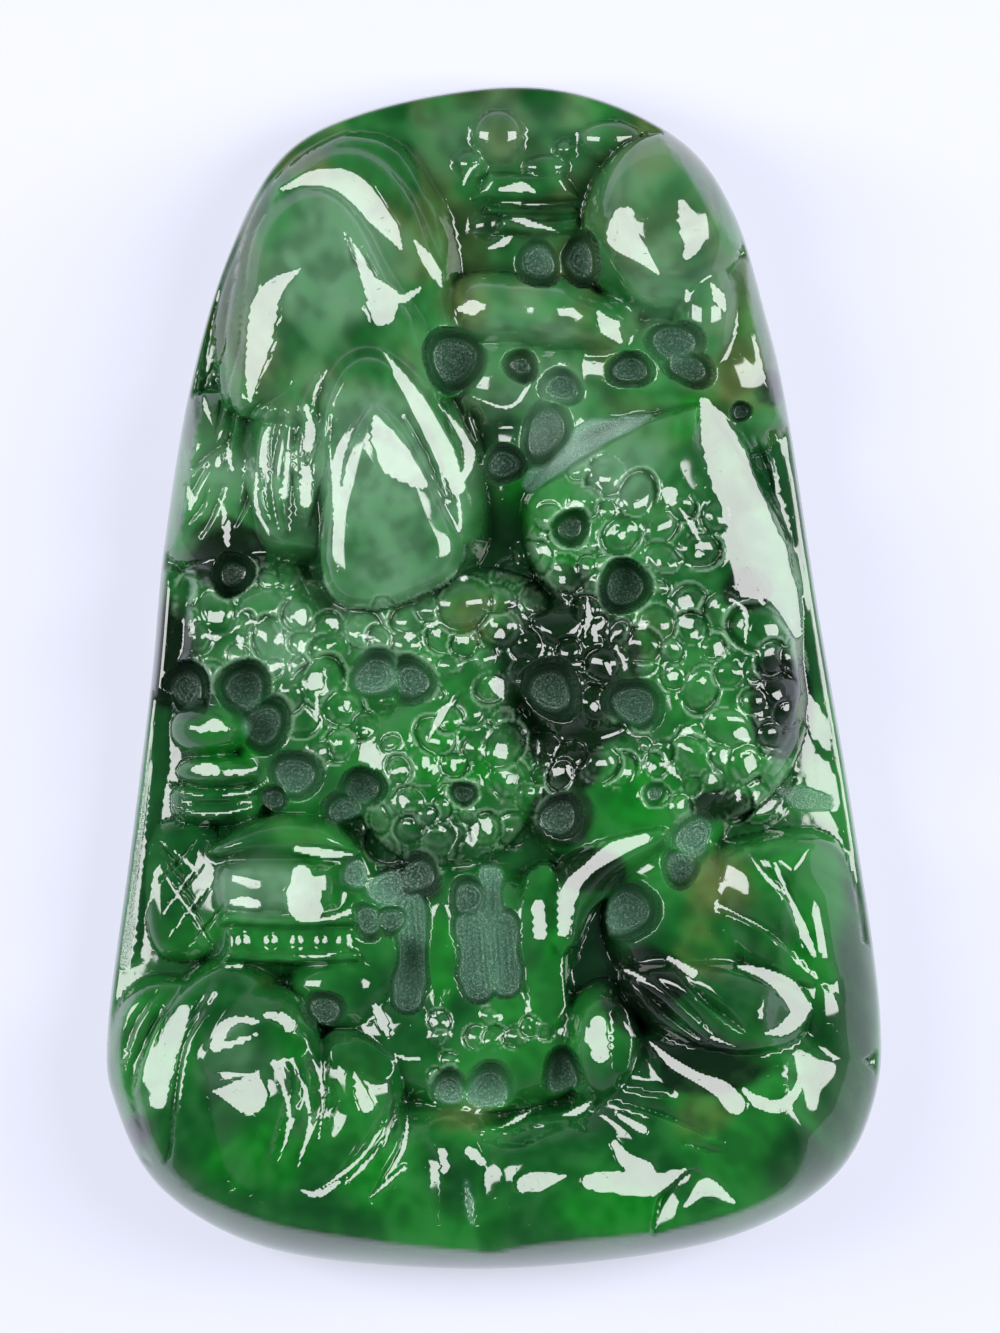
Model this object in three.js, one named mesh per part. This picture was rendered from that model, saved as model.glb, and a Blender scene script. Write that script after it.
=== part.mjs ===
import * as THREE from 'three';

// A jadeite pendant carved on its face with a mountain landscape, one piece of stone lying on its back.
// Millimetres. +X is the right of the carved face, +Y its top, +Z comes out of it, and the back is z = 0.

const thicknessAtEdge = 2.6;     // height of the widest line round the stone
const slabFace = 4.4;            // the plain ground behind the peaks
const groundRise = 1.8;          // how much higher the ground lies in the lower half
const crownRise = 10.0;          // the pebble shape that the carving stays under
const crownReach = 6.0;          // how far in from the edge that shape goes on rising
const backRounding = 1.5;        // rounding between the side and the flat back
const skinTolerance = 0.14;      // how far the facets may leave the carved surface
const polishPasses = 6;          // how often the carved surface is eased
const gridSide = 256;            // finest grid over the face, a power of two

// Corners of the outline, right round from the top, with a smooth curve through them.
const outlineCorners = [
  [0.3, 29.5], [5.2, 28.9], [9.6, 26.6], [12.0, 23.2], [13.5, 18.4], [14.65, 13.4], [16.2, 3.4],
  [17.9, -6.6], [19.3, -16.6], [18.9, -21.6], [16.6, -25.4], [11.5, -28.1], [3.4, -29.4], [-4.0, -29.5],
  [-11.5, -28.5], [-16.6, -25.6], [-18.9, -21.4], [-19.3, -17.6], [-18.15, -8.6], [-17.1, 0.0],
  [-16.5, 6.4], [-15.2, 14.4], [-13.3, 21.0], [-10.6, 26.0], [-6.3, 28.3],
];

// Rounded masses from the back of the scene to the front. Each rises from foot to top; flat is how level
// its top is, and half, up and down are its reach to the sides, upward and downward.
const masses = [
  { name: 'far peak', x: -7.45, y: 18.9, half: 5.75, up: 8.75, down: 6.0, foot: 3.4, top: 6.4, flat: 4 },
  { name: 'left peak', x: -7.85, y: 17.4, half: 5.6, up: 9.35, down: 6.5, foot: 4.6, top: 8.4, flat: 3 },
  { name: 'left peak face', x: -8.3, y: 15.8, half: 4.6, up: 7.9, down: 6.0, foot: 6.8, top: 9.4, flat: 2.4 },
  { name: 'left slope', x: -13.0, y: 9.6, half: 3.6, up: 4.2, down: 4.4, foot: 4.6, top: 7.4, flat: 3 },
  { name: 'left shoulder', x: -10.3, y: 9.9, half: 2.7, up: 4.2, down: 4.2, foot: 6.0, top: 9.4, flat: 2.2 },
  { name: 'right peak', x: 8.4, y: 22.4, half: 4.0, up: 4.5, down: 4.6, foot: 5.0, top: 9.2, flat: 2.2 },
  { name: 'right foothill', x: 10.8, y: 17.4, half: 1.7, up: 3.4, down: 4.4, foot: 5.4, top: 8.4, flat: 2.2 },
  { name: 'saddle', x: 9.0, y: 14.8, half: 4.8, up: 3.2, down: 3.0, foot: 4.6, top: 7.2, flat: 3, turn: -12 },
  { name: 'cloud left', x: -0.2, y: 18.3, half: 2.1, up: 1.65, down: 1.65, foot: 5.4, top: 7.9, flat: 2.4 },
  { name: 'cloud right', x: 3.7, y: 17.7, half: 3.4, up: 2.0, down: 2.0, foot: 5.4, top: 8.4, flat: 2.4 },
  { name: 'cloud step', x: 0.9, y: 14.6, half: 3.2, up: 2.4, down: 2.2, foot: 4.6, top: 7.0, flat: 2.6 },
  { name: 'valley', x: 2.0, y: 10.2, half: 3.2, up: 4.0, down: 4.0, foot: 4.6, top: 6.8, flat: 3, turn: -20 },
  { name: 'front peak', x: -4.95, y: 10.2, half: 4.9, up: 7.1, down: 7.0, foot: 6.0, top: 11.0, flat: 2.6, turn: 6 },
  { name: 'front peak face', x: -5.35, y: 7.9, half: 3.4, up: 5.8, down: 4.2, foot: 9.0, top: 11.8, turn: 4 },
  { name: 'right slope', x: 8.05, y: 3.9, half: 7.5, up: 10.0, down: 8.0, foot: 5.2, top: 9.8, flat: 4 },
  { name: 'left grove', x: -11.8, y: 1.4, half: 5.6, up: 4.9, down: 4.6, foot: 5.4, top: 9.0, flat: 3 },
  { name: 'middle grove', x: -2.3, y: 2.0, half: 6.8, up: 3.6, down: 4.0, foot: 5.6, top: 9.6, flat: 3.5 },
  { name: 'dark grove', x: 4.55, y: 0.6, half: 3.8, up: 4.0, down: 4.4, foot: 5.6, top: 9.7, flat: 3 },
  { name: 'right grove', x: 10.9, y: -0.6, half: 4.9, up: 6.4, down: 6.6, foot: 5.6, top: 9.9, flat: 3.2 },
  { name: 'low grove', x: -2.4, y: -4.6, half: 4.8, up: 5.2, down: 5.0, foot: 5.6, top: 9.9, flat: 3.2 },
  { name: 'left grove foot', x: -8.6, y: -3.6, half: 4.4, up: 4.4, down: 3.8, foot: 5.6, top: 8.6, flat: 3 },
  { name: 'lawn', x: 6.4, y: -5.6, half: 5.6, up: 3.4, down: 4.6, foot: 5.6, top: 8.9, flat: 3.2, turn: -20 },
  { name: 'terrace', x: -2.0, y: -12.8, half: 6.4, up: 3.8, down: 4.4, foot: 5.0, top: 8.2, flat: 4 },
  { name: 'meadow', x: -0.8, y: -17.8, half: 7.0, up: 2.9, down: 4.0, foot: 5.4, top: 8.0, flat: 3.5 },
  { name: 'right hollow', x: 9.8, y: -11.8, half: 4.4, up: 3.8, down: 4.6, foot: 5.6, top: 9.0, flat: 3, turn: -20 },
  { name: 'right crag', x: 14.3, y: -12.4, half: 4.3, up: 4.9, down: 6.0, foot: 5.4, top: 9.6, flat: 3, plan: 3 },
  { name: 'low crag', x: 11.6, y: -21.6, half: 7.8, up: 5.6, down: 5.4, foot: 5.0, top: 9.7, flat: 3 },
  { name: 'middle crag', x: 11.6, y: -16.7, half: 5.8, up: 3.4, down: 3.6, foot: 6.4, top: 10.6, flat: 2.4, turn: -25 },
  { name: 'knoll', x: 5.4, y: -18.4, half: 2.2, up: 3.3, down: 3.4, foot: 6.0, top: 9.6, flat: 2.4 },
  { name: 'right bank', x: 10.2, y: -25.3, half: 6.4, up: 3.2, down: 7.0, foot: 4.2, top: 8.6, flat: 3 },
  { name: 'bank', x: 4.0, y: -25.0, half: 6.0, up: 3.8, down: 7.5, foot: 4.2, top: 8.9, flat: 3.5 },
  { name: 'middle bank', x: -2.7, y: -24.9, half: 4.6, up: 4.0, down: 7.5, foot: 4.2, top: 8.6, flat: 2.8 },
  { name: 'boulder shell', x: -14.3, y: -20.6, half: 5.0, up: 7.0, down: 6.4, foot: 4.2, top: 8.0, flat: 3, turn: -8 },
  { name: 'boulder skin', x: -12.7, y: -20.6, half: 5.0, up: 6.4, down: 6.4, foot: 5.4, top: 9.2, flat: 3, turn: -10 },
  { name: 'left bank', x: -8.6, y: -25.0, half: 9.0, up: 5.0, down: 7.5, foot: 3.6, top: 9.2, flat: 3 },
  { name: 'left boulder', x: -11.9, y: -20.9, half: 3.6, up: 4.8, down: 5.6, foot: 6.8, top: 10.8, flat: 2.2, turn: -6 },
  { name: 'small boulder', x: -6.9, y: -21.1, half: 2.3, up: 3.2, down: 3.8, foot: 7.2, top: 9.9, flat: 2.4, turn: 10 },
];

// Rounded ridges along a curve.
const ridges = [
  { name: 'bent ridge', through: [[8.4, -7.8], [5.4, -9.2], [3.8, -11.2], [3.4, -14.0], [4.0, -16.0]],
    half: 1.5, foot: 7.0, top: 9.5 },
  { name: 'root', through: [[2.6, -9.6], [2.3, -12.6], [2.8, -15.8]], half: 1.2, foot: 6.6, top: 8.8 },
];

// Tree heads: round beads set close over an oval, each in its own row and a little off its place.
const groves = [
  { name: 'on the slope', x: 6.0, y: 7.0, half: 5.4, tall: 3.4, turn: -22, pitch: 1.75, bead: 0.98 },
  { name: 'right', x: 10.7, y: -0.4, half: 4.4, tall: 6.6, turn: 0, pitch: 1.7, bead: 0.95 },
  { name: 'dark', x: 4.3, y: 1.2, half: 3.4, tall: 3.4, turn: 0, pitch: 1.55, bead: 0.86 },
  { name: 'middle', x: -2.2, y: 2.6, half: 6.4, tall: 2.8, turn: 8, pitch: 1.6, bead: 0.9 },
  { name: 'left', x: -11.8, y: 1.6, half: 5.0, tall: 4.3, turn: 0, pitch: 1.8, bead: 1.0 },
  { name: 'left foot', x: -8.4, y: -2.2, half: 2.8, tall: 2.6, turn: 0, pitch: 1.7, bead: 0.95 },
  { name: 'low', x: -2.4, y: -4.6, half: 4.4, tall: 4.8, turn: 0, pitch: 1.7, bead: 0.95 },
  { name: 'tail', x: 5.0, y: -4.3, half: 4.2, tall: 1.2, turn: 0, pitch: 1.5, bead: 0.84 },
];
const beadRise = 0.52;           // rise of a bead as a share of its radius

// Steps in the rock: a drop on the left hand of the curve that runs out over its reach.
const folds = [
  { through: [[-4.45, 13.1], [-3.2, 10.9], [-2.1, 8.5]], reach: 1.2, drop: 0.5 },
  { through: [[-3.45, 15.3], [-2.2, 12.9], [-1.6, 10.4]], reach: 1.0, drop: 0.45 },
  { through: [[-11.6, 8.1], [-11.8, 10.4], [-10.95, 13.4]], reach: 0.8, drop: 0.5 },
  { through: [[-10.2, 6.9], [-10.55, 10.4], [-10.2, 12.6]], reach: 0.9, drop: 0.5 },
  { through: [[-8.8, 7.3], [-9.45, 9.9], [-9.2, 12.9]], reach: 0.8, drop: 0.5 },
  { through: [[-7.7, 22.6], [-6.6, 21.1], [-5.2, 18.9]], reach: 1.4, drop: 0.45 },
  { through: [[12.55, -8.6], [14.55, -10.9], [15.3, -13.6]], reach: 1.2, drop: 0.6 },
  { through: [[13.9, -9.1], [15.05, -11.6], [16.05, -14.1]], reach: 1.0, drop: 0.5 },
  { through: [[11.05, -11.4], [13.3, -12.4], [15.3, -14.1]], reach: 1.0, drop: 0.5 },
  { through: [[6.55, -14.6], [8.3, -16.4], [10.8, -18.4]], reach: 0.7, drop: 0.5 },
  { through: [[8.8, -14.1], [10.3, -15.9], [12.55, -17.7]], reach: 0.8, drop: 0.5 },
  { through: [[-16.95, -21.4], [-16.45, -18.9], [-14.7, -16.4]], reach: 1.2, drop: 0.5 },
  { through: [[-16.2, -24.0], [-15.8, -21.4], [-15.2, -18.1], [-13.95, -15.6]], reach: 1.2, drop: 0.5 },
  { through: [[-4.3, -20.9], [-4.7, -23.4], [-6.2, -26.0]], reach: 0.9, drop: 0.45 },
  { through: [[-1.2, -22.4], [0.8, -23.1], [2.55, -22.5], [5.3, -21.1]], reach: 0.9, drop: 0.5 },
  { through: [[10.3, -24.4], [8.55, -25.4], [7.7, -28.6]], reach: 1.0, drop: 0.6 },
  { through: [[-2.45, -22.6], [-1.3, -24.4], [-1.95, -27.6]], reach: 1.2, drop: 0.6 },
  { through: [[7.55, -18.1], [9.8, -20.0], [11.8, -21.6]], reach: 1.2, drop: 0.6 },
  { through: [[11.8, -21.6], [13.3, -21.4], [15.15, -20.0]], reach: 1.2, drop: 0.6 },
];

// Ball-cut hollows: place, half width, half height and the level of the floor.
const hollows = [
  [-1.95, 15.8, 1.6, 1.5, 4.8], [1.35, 15.5, 0.85, 0.85, 5.6], [3.4, 14.4, 1.05, 1.0, 5.4],
  [0.5, 10.6, 1.15, 1.1, 4.8], [7.0, 15.3, 1.2, 1.0, 5.3], [9.0, 16.6, 1.5, 1.4, 5.0],
  [9.6, 15.3, 1.2, 1.0, 5.2], [7.3, 18.8, 0.7, 0.7, 5.8], [2.2, 20.7, 1.25, 1.2, 3.4],
  [4.3, 20.8, 1.0, 1.3, 3.6], [-0.3, 22.6, 1.1, 1.2, 3.9], [3.8, 7.4, 0.95, 0.9, 7.6],
  [6.5, 4.5, 1.35, 1.2, 7.0], [2.8, -0.7, 1.45, 1.5, 6.9], [7.0, -1.4, 1.45, 1.3, 7.2],
  [-5.9, 0.0, 1.4, 1.3, 6.9], [-4.1, -0.2, 1.2, 1.1, 7.0], [-12.4, -0.6, 1.4, 1.3, 6.2],
  [-11.5, -2.4, 1.35, 1.4, 6.0], [-9.9, -4.9, 1.3, 1.3, 6.2], [-11.0, -6.1, 0.8, 0.6, 6.0],
  [-6.6, -5.6, 1.15, 1.1, 6.5], [-7.4, -6.8, 1.2, 1.2, 6.2], [-13.0, 5.1, 1.1, 1.0, 5.8],
  [-15.3, -0.6, 1.2, 1.3, 5.2], [-1.5, -5.8, 0.65, 0.6, 8.4], [3.2, -7.0, 1.15, 1.2, 6.9],
  [8.0, -5.8, 0.65, 0.65, 8.0], [10.0, -8.0, 1.2, 1.35, 6.8], [9.3, -9.4, 1.0, 1.0, 6.8],
  [6.4, -11.8, 1.5, 1.35, 6.4], [-6.8, -9.8, 0.95, 0.95, 6.2], [-5.3, -10.5, 1.4, 1.25, 6.0],
  [-3.8, -9.9, 1.1, 1.1, 6.0], [-6.2, -12.1, 0.9, 0.9, 6.0], [-5.1, -12.1, 0.8, 0.8, 5.8],
  [-1.2, -10.8, 1.05, 1.1, 6.2], [-8.4, -16.6, 1.05, 1.0, 6.0], [-2.2, -20.6, 1.0, 1.1, 6.2],
  [-0.3, -20.6, 1.35, 1.45, 6.0], [3.4, -19.9, 0.95, 1.5, 6.2],
];

// Long hollows between the tree trunks.
const channels = [
  { through: [[-4.1, -11.6], [-4.1, -14.0], [-4.2, -16.2]], half: 0.62, floor: 5.8 },
  { through: [[-1.2, -12.0], [-1.0, -14.0], [-0.9, -15.6]], half: 0.65, floor: 6.1 },
  { through: [[0.3, -9.4], [0.4, -12.0], [0.7, -15.4]], half: 0.7, floor: 6.1 },
];

// Buildings in low relief. A plate is a tapering panel: top and bottom line, half width and level at each,
// and lift is how far its corners turn up.
const pagodaBalls = [
  { name: 'finial tree', x: 0.2, y: 27.0, half: 1.4, up: 1.4, down: 1.4, foot: 4.0, top: 5.4 },
  { name: 'side shrub', x: 3.5, y: 26.3, half: 0.6, up: 0.6, down: 0.6, foot: 4.0, top: 5.0 },
];
const pavilionBalls = [
  { name: 'pavilion roof', x: -13.9, y: -2.6, half: 2.3, up: 1.9, down: 1.6, foot: 6.0, top: 8.8 },
  { name: 'pavilion room', x: -13.7, y: -4.3, half: 2.4, up: 1.3, down: 1.6, foot: 6.0, top: 8.6, plan: 2.6 },
  { name: 'lattice panel', x: -15.4, y: -10.4, half: 1.6, up: 3.2, down: 3.6, foot: 5.0, top: 7.4, flat: 4 },
];
const pagodaPlates = [
  { name: 'upper roof', x: 1.6, top: 25.2, low: 23.7, halfTop: 1.8, halfLow: 2.7, zTop: 5.4, zLow: 4.9, lift: 0.15 },
  { name: 'upper room', x: 1.8, top: 23.7, low: 22.9, halfTop: 1.7, halfLow: 1.7, zTop: 4.5, zLow: 4.6, lift: 0 },
  { name: 'lower roof', x: 2.2, top: 22.9, low: 21.8, halfTop: 1.4, halfLow: 2.0, zTop: 5.2, zLow: 4.8, lift: 0.15 },
];
const housePlates = [
  { name: 'roof', x: -10.7, top: -6.7, low: -9.1, halfTop: 2.4, halfLow: 3.8, zTop: 8.9, zLow: 8.0, lift: 0.35 },
  { name: 'wall', x: -10.6, top: -9.1, low: -12.0, halfTop: 3.0, halfLow: 3.0, zTop: 7.6, zLow: 8.2, lift: 0 },
  { name: 'eave', x: -10.2, top: -12.0, low: -12.6, halfTop: 3.2, halfLow: 3.5, zTop: 8.6, zLow: 8.4, lift: 0.2 },
  { name: 'ground floor', x: -10.2, top: -12.6, low: -13.8, halfTop: 3.1, halfLow: 3.1, zTop: 7.8, zLow: 8.0, lift: 0 },
  { name: 'step', x: -10.1, top: -13.8, low: -14.4, halfTop: 3.3, halfLow: 3.5, zTop: 8.4, zLow: 8.1, lift: 0.15 },
];
const pavilionPlates = [
  { name: 'first eave', x: -13.7, top: -5.2, low: -5.8, halfTop: 2.1, halfLow: 2.4, zTop: 8.2, zLow: 7.8, lift: 0.35 },
  { name: 'second eave', x: -13.8, top: -6.1, low: -6.8, halfTop: 2.1, halfLow: 2.3, zTop: 7.8, zLow: 7.4, lift: 0.3 },
];
const plateBevel = 0.25;

const clamp = THREE.MathUtils.clamp;
const mix = THREE.MathUtils.lerp;

// A curve through the given corners, as a list of points.
function curveThrough(corners, closed, pieces) {
  const points = corners.map(([x, y]) => new THREE.Vector3(x, y, 0));
  const curve = new THREE.CatmullRomCurve3(points, closed, 'catmullrom', 0.5);
  const list = curve.getPoints(pieces);
  if (closed) {
    list.pop();
  }
  return list.map((p) => [p.x, p.y]);
}

// Distance from a point to a line of points, how far along that is, and on which hand the point lies.
function nearestOnLine(line, closed, x, y) {
  const count = closed ? line.length : line.length - 1;
  let gap = Infinity;
  let along = 0;
  let hand = 0;
  for (let i = 0; i < count; i += 1) {
    const [ax, ay] = line[i];
    const [bx, by] = line[(i + 1) % line.length];
    const dx = bx - ax;
    const dy = by - ay;
    const share = clamp(((x - ax) * dx + (y - ay) * dy) / (dx * dx + dy * dy), 0, 1);
    const ex = x - ax - share * dx;
    const ey = y - ay - share * dy;
    const distance = Math.hypot(ex, ey);
    if (distance < gap) {
      gap = distance;
      along = (i + share) / count;
      hand = Math.sign(dx * ey - dy * ex);
    }
  }
  return { gap, along, hand };
}

// The larger of two heights with the crease between them eased by a small width.
function easedMax(a, b, width) {
  const share = clamp(0.5 + 0.5 * (b - a) / width, 0, 1);
  return a + (b - a) * share + width * share * (1 - share);
}

// A number from 0 to 1 that looks random but is the same for the same place in a row.
function scatter(i, j, k) {
  const value = Math.sin(i * 12.9898 + j * 78.233 + k * 37.719) * 43758.5453;
  return value - Math.floor(value);
}

const easing = 0.12;
const outline = curveThrough(outlineCorners, true, 200);
for (const path of [...ridges, ...folds, ...channels]) {
  path.line = curveThrough(path.through, false, path.through.length * 5);
  path.box = new THREE.Box2();
  path.line.forEach(([x, y]) => path.box.expandByPoint(new THREE.Vector2(x, y)));
  path.box.expandByScalar(path.half ?? path.reach);
}

function massOver(ground, mass, x, y) {
  const { half, up, down, foot, top, plan = 2, flat = 2, turn = 0 } = mass;
  const angle = THREE.MathUtils.degToRad(turn);
  const dx = (x - mass.x) * Math.cos(angle) + (y - mass.y) * Math.sin(angle);
  const dy = (y - mass.y) * Math.cos(angle) - (x - mass.x) * Math.sin(angle);
  const across = Math.abs(dx) / half;
  const along = Math.abs(dy) / (dy > 0 ? up : down);
  const out = Math.pow(across ** plan + along ** plan, 1 / plan);
  if (out >= 1) {
    return ground;
  }
  return easedMax(ground, foot + (top - foot) * Math.sqrt(1 - out ** flat), easing);
}

function ridgeOver(ground, ridge, x, y) {
  const { gap, along } = nearestOnLine(ridge.line, false, x, y);
  const ends = clamp(Math.min(along, 1 - along) * 2, 0, 1);
  const half = ridge.half * (0.3 + 0.7 * ends ** 0.35);
  if (gap >= half) {
    return ground;
  }
  return easedMax(ground, ridge.foot + (ridge.top - ridge.foot) * Math.sqrt(1 - (gap / half) ** 2), easing);
}

function foldIn(ground, fold, x, y) {
  const { gap, along, hand } = nearestOnLine(fold.line, false, x, y);
  const ends = Math.sqrt(clamp(Math.min(along, 1 - along) * 2, 0, 1));
  const run = clamp(1 - gap / fold.reach, 0, 1) ** 1.5;
  return hand > 0 ? ground - fold.drop * ends * run : ground;
}

// The floor of a round cut at a share of its radius.
function bowl(floor, radius, share) {
  return floor + radius * 0.9 * (1 - Math.sqrt(1 - share * share));
}

function hollowIn(ground, [cx, cy, half, tall, floor], x, y) {
  const share = Math.hypot((x - cx) / half, (y - cy) / tall);
  return share < 1 ? Math.min(ground, bowl(floor, Math.min(half, tall), share)) : ground;
}

function channelIn(ground, channel, x, y) {
  const share = nearestOnLine(channel.line, false, x, y).gap / channel.half;
  return share < 1 ? Math.min(ground, bowl(channel.floor, channel.half, share)) : ground;
}

function plateOver(ground, plate, x, y) {
  const dx = x - plate.x;
  const lifted = y - plate.lift * (dx / Math.max(plate.halfTop, plate.halfLow)) ** 2;
  const share = (plate.top - lifted) / (plate.top - plate.low);
  const half = mix(plate.halfTop, plate.halfLow, clamp(share, 0, 1));
  const inward = Math.min(half - Math.abs(dx), plate.top - lifted, lifted - plate.low);
  if (inward <= 0) {
    return ground;
  }
  return mix(plate.zTop, plate.zLow, share) - plateBevel * clamp(1 - inward / plateBevel, 0, 1) ** 2;
}

// All the beads of a grove, row by row, the odd rows half a pitch over.
function beadsOf(grove, order) {
  const beads = [];
  const angle = THREE.MathUtils.degToRad(grove.turn);
  const rowPitch = grove.pitch * Math.sqrt(3) / 2;
  const rows = Math.ceil(grove.tall / rowPitch);
  const columns = Math.ceil(grove.half / grove.pitch);
  for (let j = -rows; j <= rows; j += 1) {
    for (let i = -columns; i <= columns; i += 1) {
      const shift = 0.5 * Math.abs(j % 2);
      const u = (i + shift + 0.34 * (scatter(i, j, order) - 0.5)) * grove.pitch;
      const v = (j + 0.34 * (scatter(i, j, order + 11) - 0.5)) * rowPitch;
      if (Math.hypot(u / grove.half, v / grove.tall) <= 1) {
        beads.push({
          x: grove.x + u * Math.cos(angle) - v * Math.sin(angle),
          y: grove.y + u * Math.sin(angle) + v * Math.cos(angle),
          radius: grove.bead * (0.78 + 0.34 * scatter(i, j, order + 23)),
        });
      }
    }
  }
  return beads;
}

const beads = groves.flatMap(beadsOf);

// Height of the carved face over any point inside the outline.
function faceAt(x, y, inward) {
  const lower = THREE.MathUtils.smoothstep(14 - y, 0, 10);
  const ledge = slabFace + 0.42 * inward + 0.3 * clamp(inward / 0.5, 0, 1);
  let z = Math.min(slabFace + groundRise * lower, ledge);
  for (const mass of masses) {
    z = massOver(z, mass, x, y);
  }
  const here = new THREE.Vector2(x, y);
  for (const ridge of ridges) {
    z = ridge.box.containsPoint(here) ? ridgeOver(z, ridge, x, y) : z;
  }
  const mound = z;
  for (const bead of beads) {
    const share = Math.hypot(x - bead.x, y - bead.y) / bead.radius;
    if (share < 1) {
      z = mound + bead.radius * beadRise * (Math.sqrt(1 - share * share) - 0.5);
    }
  }
  for (const fold of folds) {
    z = fold.box.containsPoint(here) ? foldIn(z, fold, x, y) : z;
  }
  for (const hollow of hollows) {
    z = hollowIn(z, hollow, x, y);
  }
  for (const channel of channels) {
    z = channel.box.containsPoint(here) ? channelIn(z, channel, x, y) : z;
  }
  for (const ball of pagodaBalls) {
    z = massOver(z, ball, x, y);
  }
  for (const plate of [...pagodaPlates, ...housePlates]) {
    z = plateOver(z, plate, x, y);
  }
  for (const ball of pavilionBalls) {
    z = massOver(z, ball, x, y);
  }
  for (const plate of pavilionPlates) {
    z = plateOver(z, plate, x, y);
  }
  const rise = (1 - (1 - clamp(inward / crownReach, 0, 1)) ** 2.4) ** 0.625;
  return -easedMax(-z, -(thicknessAtEdge + crownRise * rise), 0.25);
}

// Where the outline lies in a direction, seen with its box drawn as a square.
const size = new THREE.Box2().setFromPoints(outline.map(([x, y]) => new THREE.Vector2(x, y)));
const halfWide = (size.max.x - size.min.x) / 2;
const halfTall = (size.max.y - size.min.y) / 2;
const middle = size.getCenter(new THREE.Vector2());
const rim = outline.map(([x, y]) => [(x - middle.x) / halfWide, (y - middle.y) / halfTall]);

function rimReach(directionX, directionY) {
  for (let i = 0; i < rim.length; i += 1) {
    const [ax, ay] = rim[i];
    const [bx, by] = rim[(i + 1) % rim.length];
    const turnA = directionX * ay - directionY * ax;
    const turnB = directionX * by - directionY * bx;
    if (turnA >= 0 && turnB < 0 && directionX * ax + directionY * ay > 0) {
      const share = turnA / (turnA - turnB);
      return Math.hypot(ax + (bx - ax) * share, ay + (by - ay) * share);
    }
  }
  return 1;
}

// The finest grid: a square drawn out to fill the outline, with the carved height at each point.
const stride = gridSide + 1;
const grid = [];
for (let j = 0; j <= gridSide; j += 1) {
  for (let i = 0; i <= gridSide; i += 1) {
    const u = 2 * i / gridSide - 1;
    const v = 2 * j / gridSide - 1;
    const dx = u * Math.sqrt(1 - v * v / 2);
    const dy = v * Math.sqrt(1 - u * u / 2);
    const far = Math.hypot(dx, dy);
    const reach = far > 0 ? rimReach(dx / far, dy / far) : 0;
    const x = middle.x + halfWide * dx * reach;
    const y = middle.y + halfTall * dy * reach;
    const atEdge = i === 0 || j === 0 || i === gridSide || j === gridSide;
    const inward = atEdge ? 0 : nearestOnLine(outline, true, x, y).gap;
    grid.push(new THREE.Vector3(x - middle.x, y - middle.y, faceAt(x, y, inward)));
  }
}

// Polishing eases every inner point toward the points beside it.
for (let pass = 0; pass < polishPasses; pass += 1) {
  const before = grid.map((point) => point.z);
  for (let j = 1; j < gridSide; j += 1) {
    for (let i = 1; i < gridSide; i += 1) {
      const at = j * stride + i;
      const beside = before[at - 1] + before[at + 1] + before[at - stride] + before[at + stride];
      grid[at].z = before[at] / 2 + beside / 8;
    }
  }
}

// Halving right triangles: corners a and b end the long side, which is halved at its middle.
function halves([ax, ay, bx, by, cx, cy]) {
  const mx = (ax + bx) / 2;
  const my = (ay + by) / 2;
  return [[cx, cy, ax, ay, mx, my], [bx, by, cx, cy, mx, my]];
}

const levels = [[
  [0, 0, gridSide, gridSide, gridSide, 0],
  [gridSide, gridSide, 0, 0, 0, gridSide],
]];
for (let depth = 1; depth < 2 * Math.log2(gridSide); depth += 1) {
  levels.push(levels[depth - 1].flatMap(halves));
}

// Steepness of the face at a grid point, from the points beside it.
function steepness(at) {
  const beside = [at - 1, at + 1, at - stride, at + stride].filter((index) => grid[index]);
  const rises = beside.map((index) => {
    const run = Math.hypot(grid[index].x - grid[at].x, grid[index].y - grid[at].y);
    return Math.abs(grid[index].z - grid[at].z) / run;
  });
  return Math.max(...rises);
}

// How far the surface leaves each long side, counted up from the smallest triangles.
const leave = new Float32Array(grid.length);
const middleOf = ([ax, ay, bx, by]) => (ay + by) / 2 * stride + (ax + bx) / 2;
for (const level of levels.slice().reverse()) {
  for (const triangle of level) {
    const [ax, ay, bx, by] = triangle;
    const at = middleOf(triangle);
    const straight = grid[ay * stride + ax].clone().add(grid[by * stride + bx]).multiplyScalar(0.5);
    const onRim = (ax === bx && ax % gridSide === 0) || (ay === by && ay % gridSide === 0);
    const own = onRim
      ? 2 * straight.distanceTo(grid[at])
      : Math.abs(straight.z - grid[at].z) / Math.hypot(1, steepness(at));
    const below = level === levels[levels.length - 1]
      ? [0]
      : halves(triangle).map((half) => leave[middleOf(half)]);
    leave[at] = Math.max(leave[at], own, ...below);
  }
}

// The skin of the face: every triangle is halved until what it leaves out is under the tolerance.
const faces = [];
function addSkin(triangle, depth) {
  if (depth < levels.length && leave[middleOf(triangle)] > skinTolerance) {
    halves(triangle).forEach((half) => addSkin(half, depth + 1));
    return;
  }
  const [ax, ay, bx, by, cx, cy] = triangle;
  faces.push([ay * stride + ax, cy * stride + cx, by * stride + bx]);
}
levels[0].forEach((triangle) => addSkin(triangle, 0));

// The used points along the rim, anticlockwise from the lower left corner.
const used = new Set(faces.flat());
const walk = [];
for (let i = 0; i < gridSide; i += 1) {
  walk.push(i);
}
for (let j = 0; j < gridSide; j += 1) {
  walk.push(j * stride + gridSide);
}
for (let i = gridSide; i > 0; i -= 1) {
  walk.push(gridSide * stride + i);
}
for (let j = gridSide; j > 0; j -= 1) {
  walk.push(j * stride);
}
const edge = walk.filter((index) => used.has(index));

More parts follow.
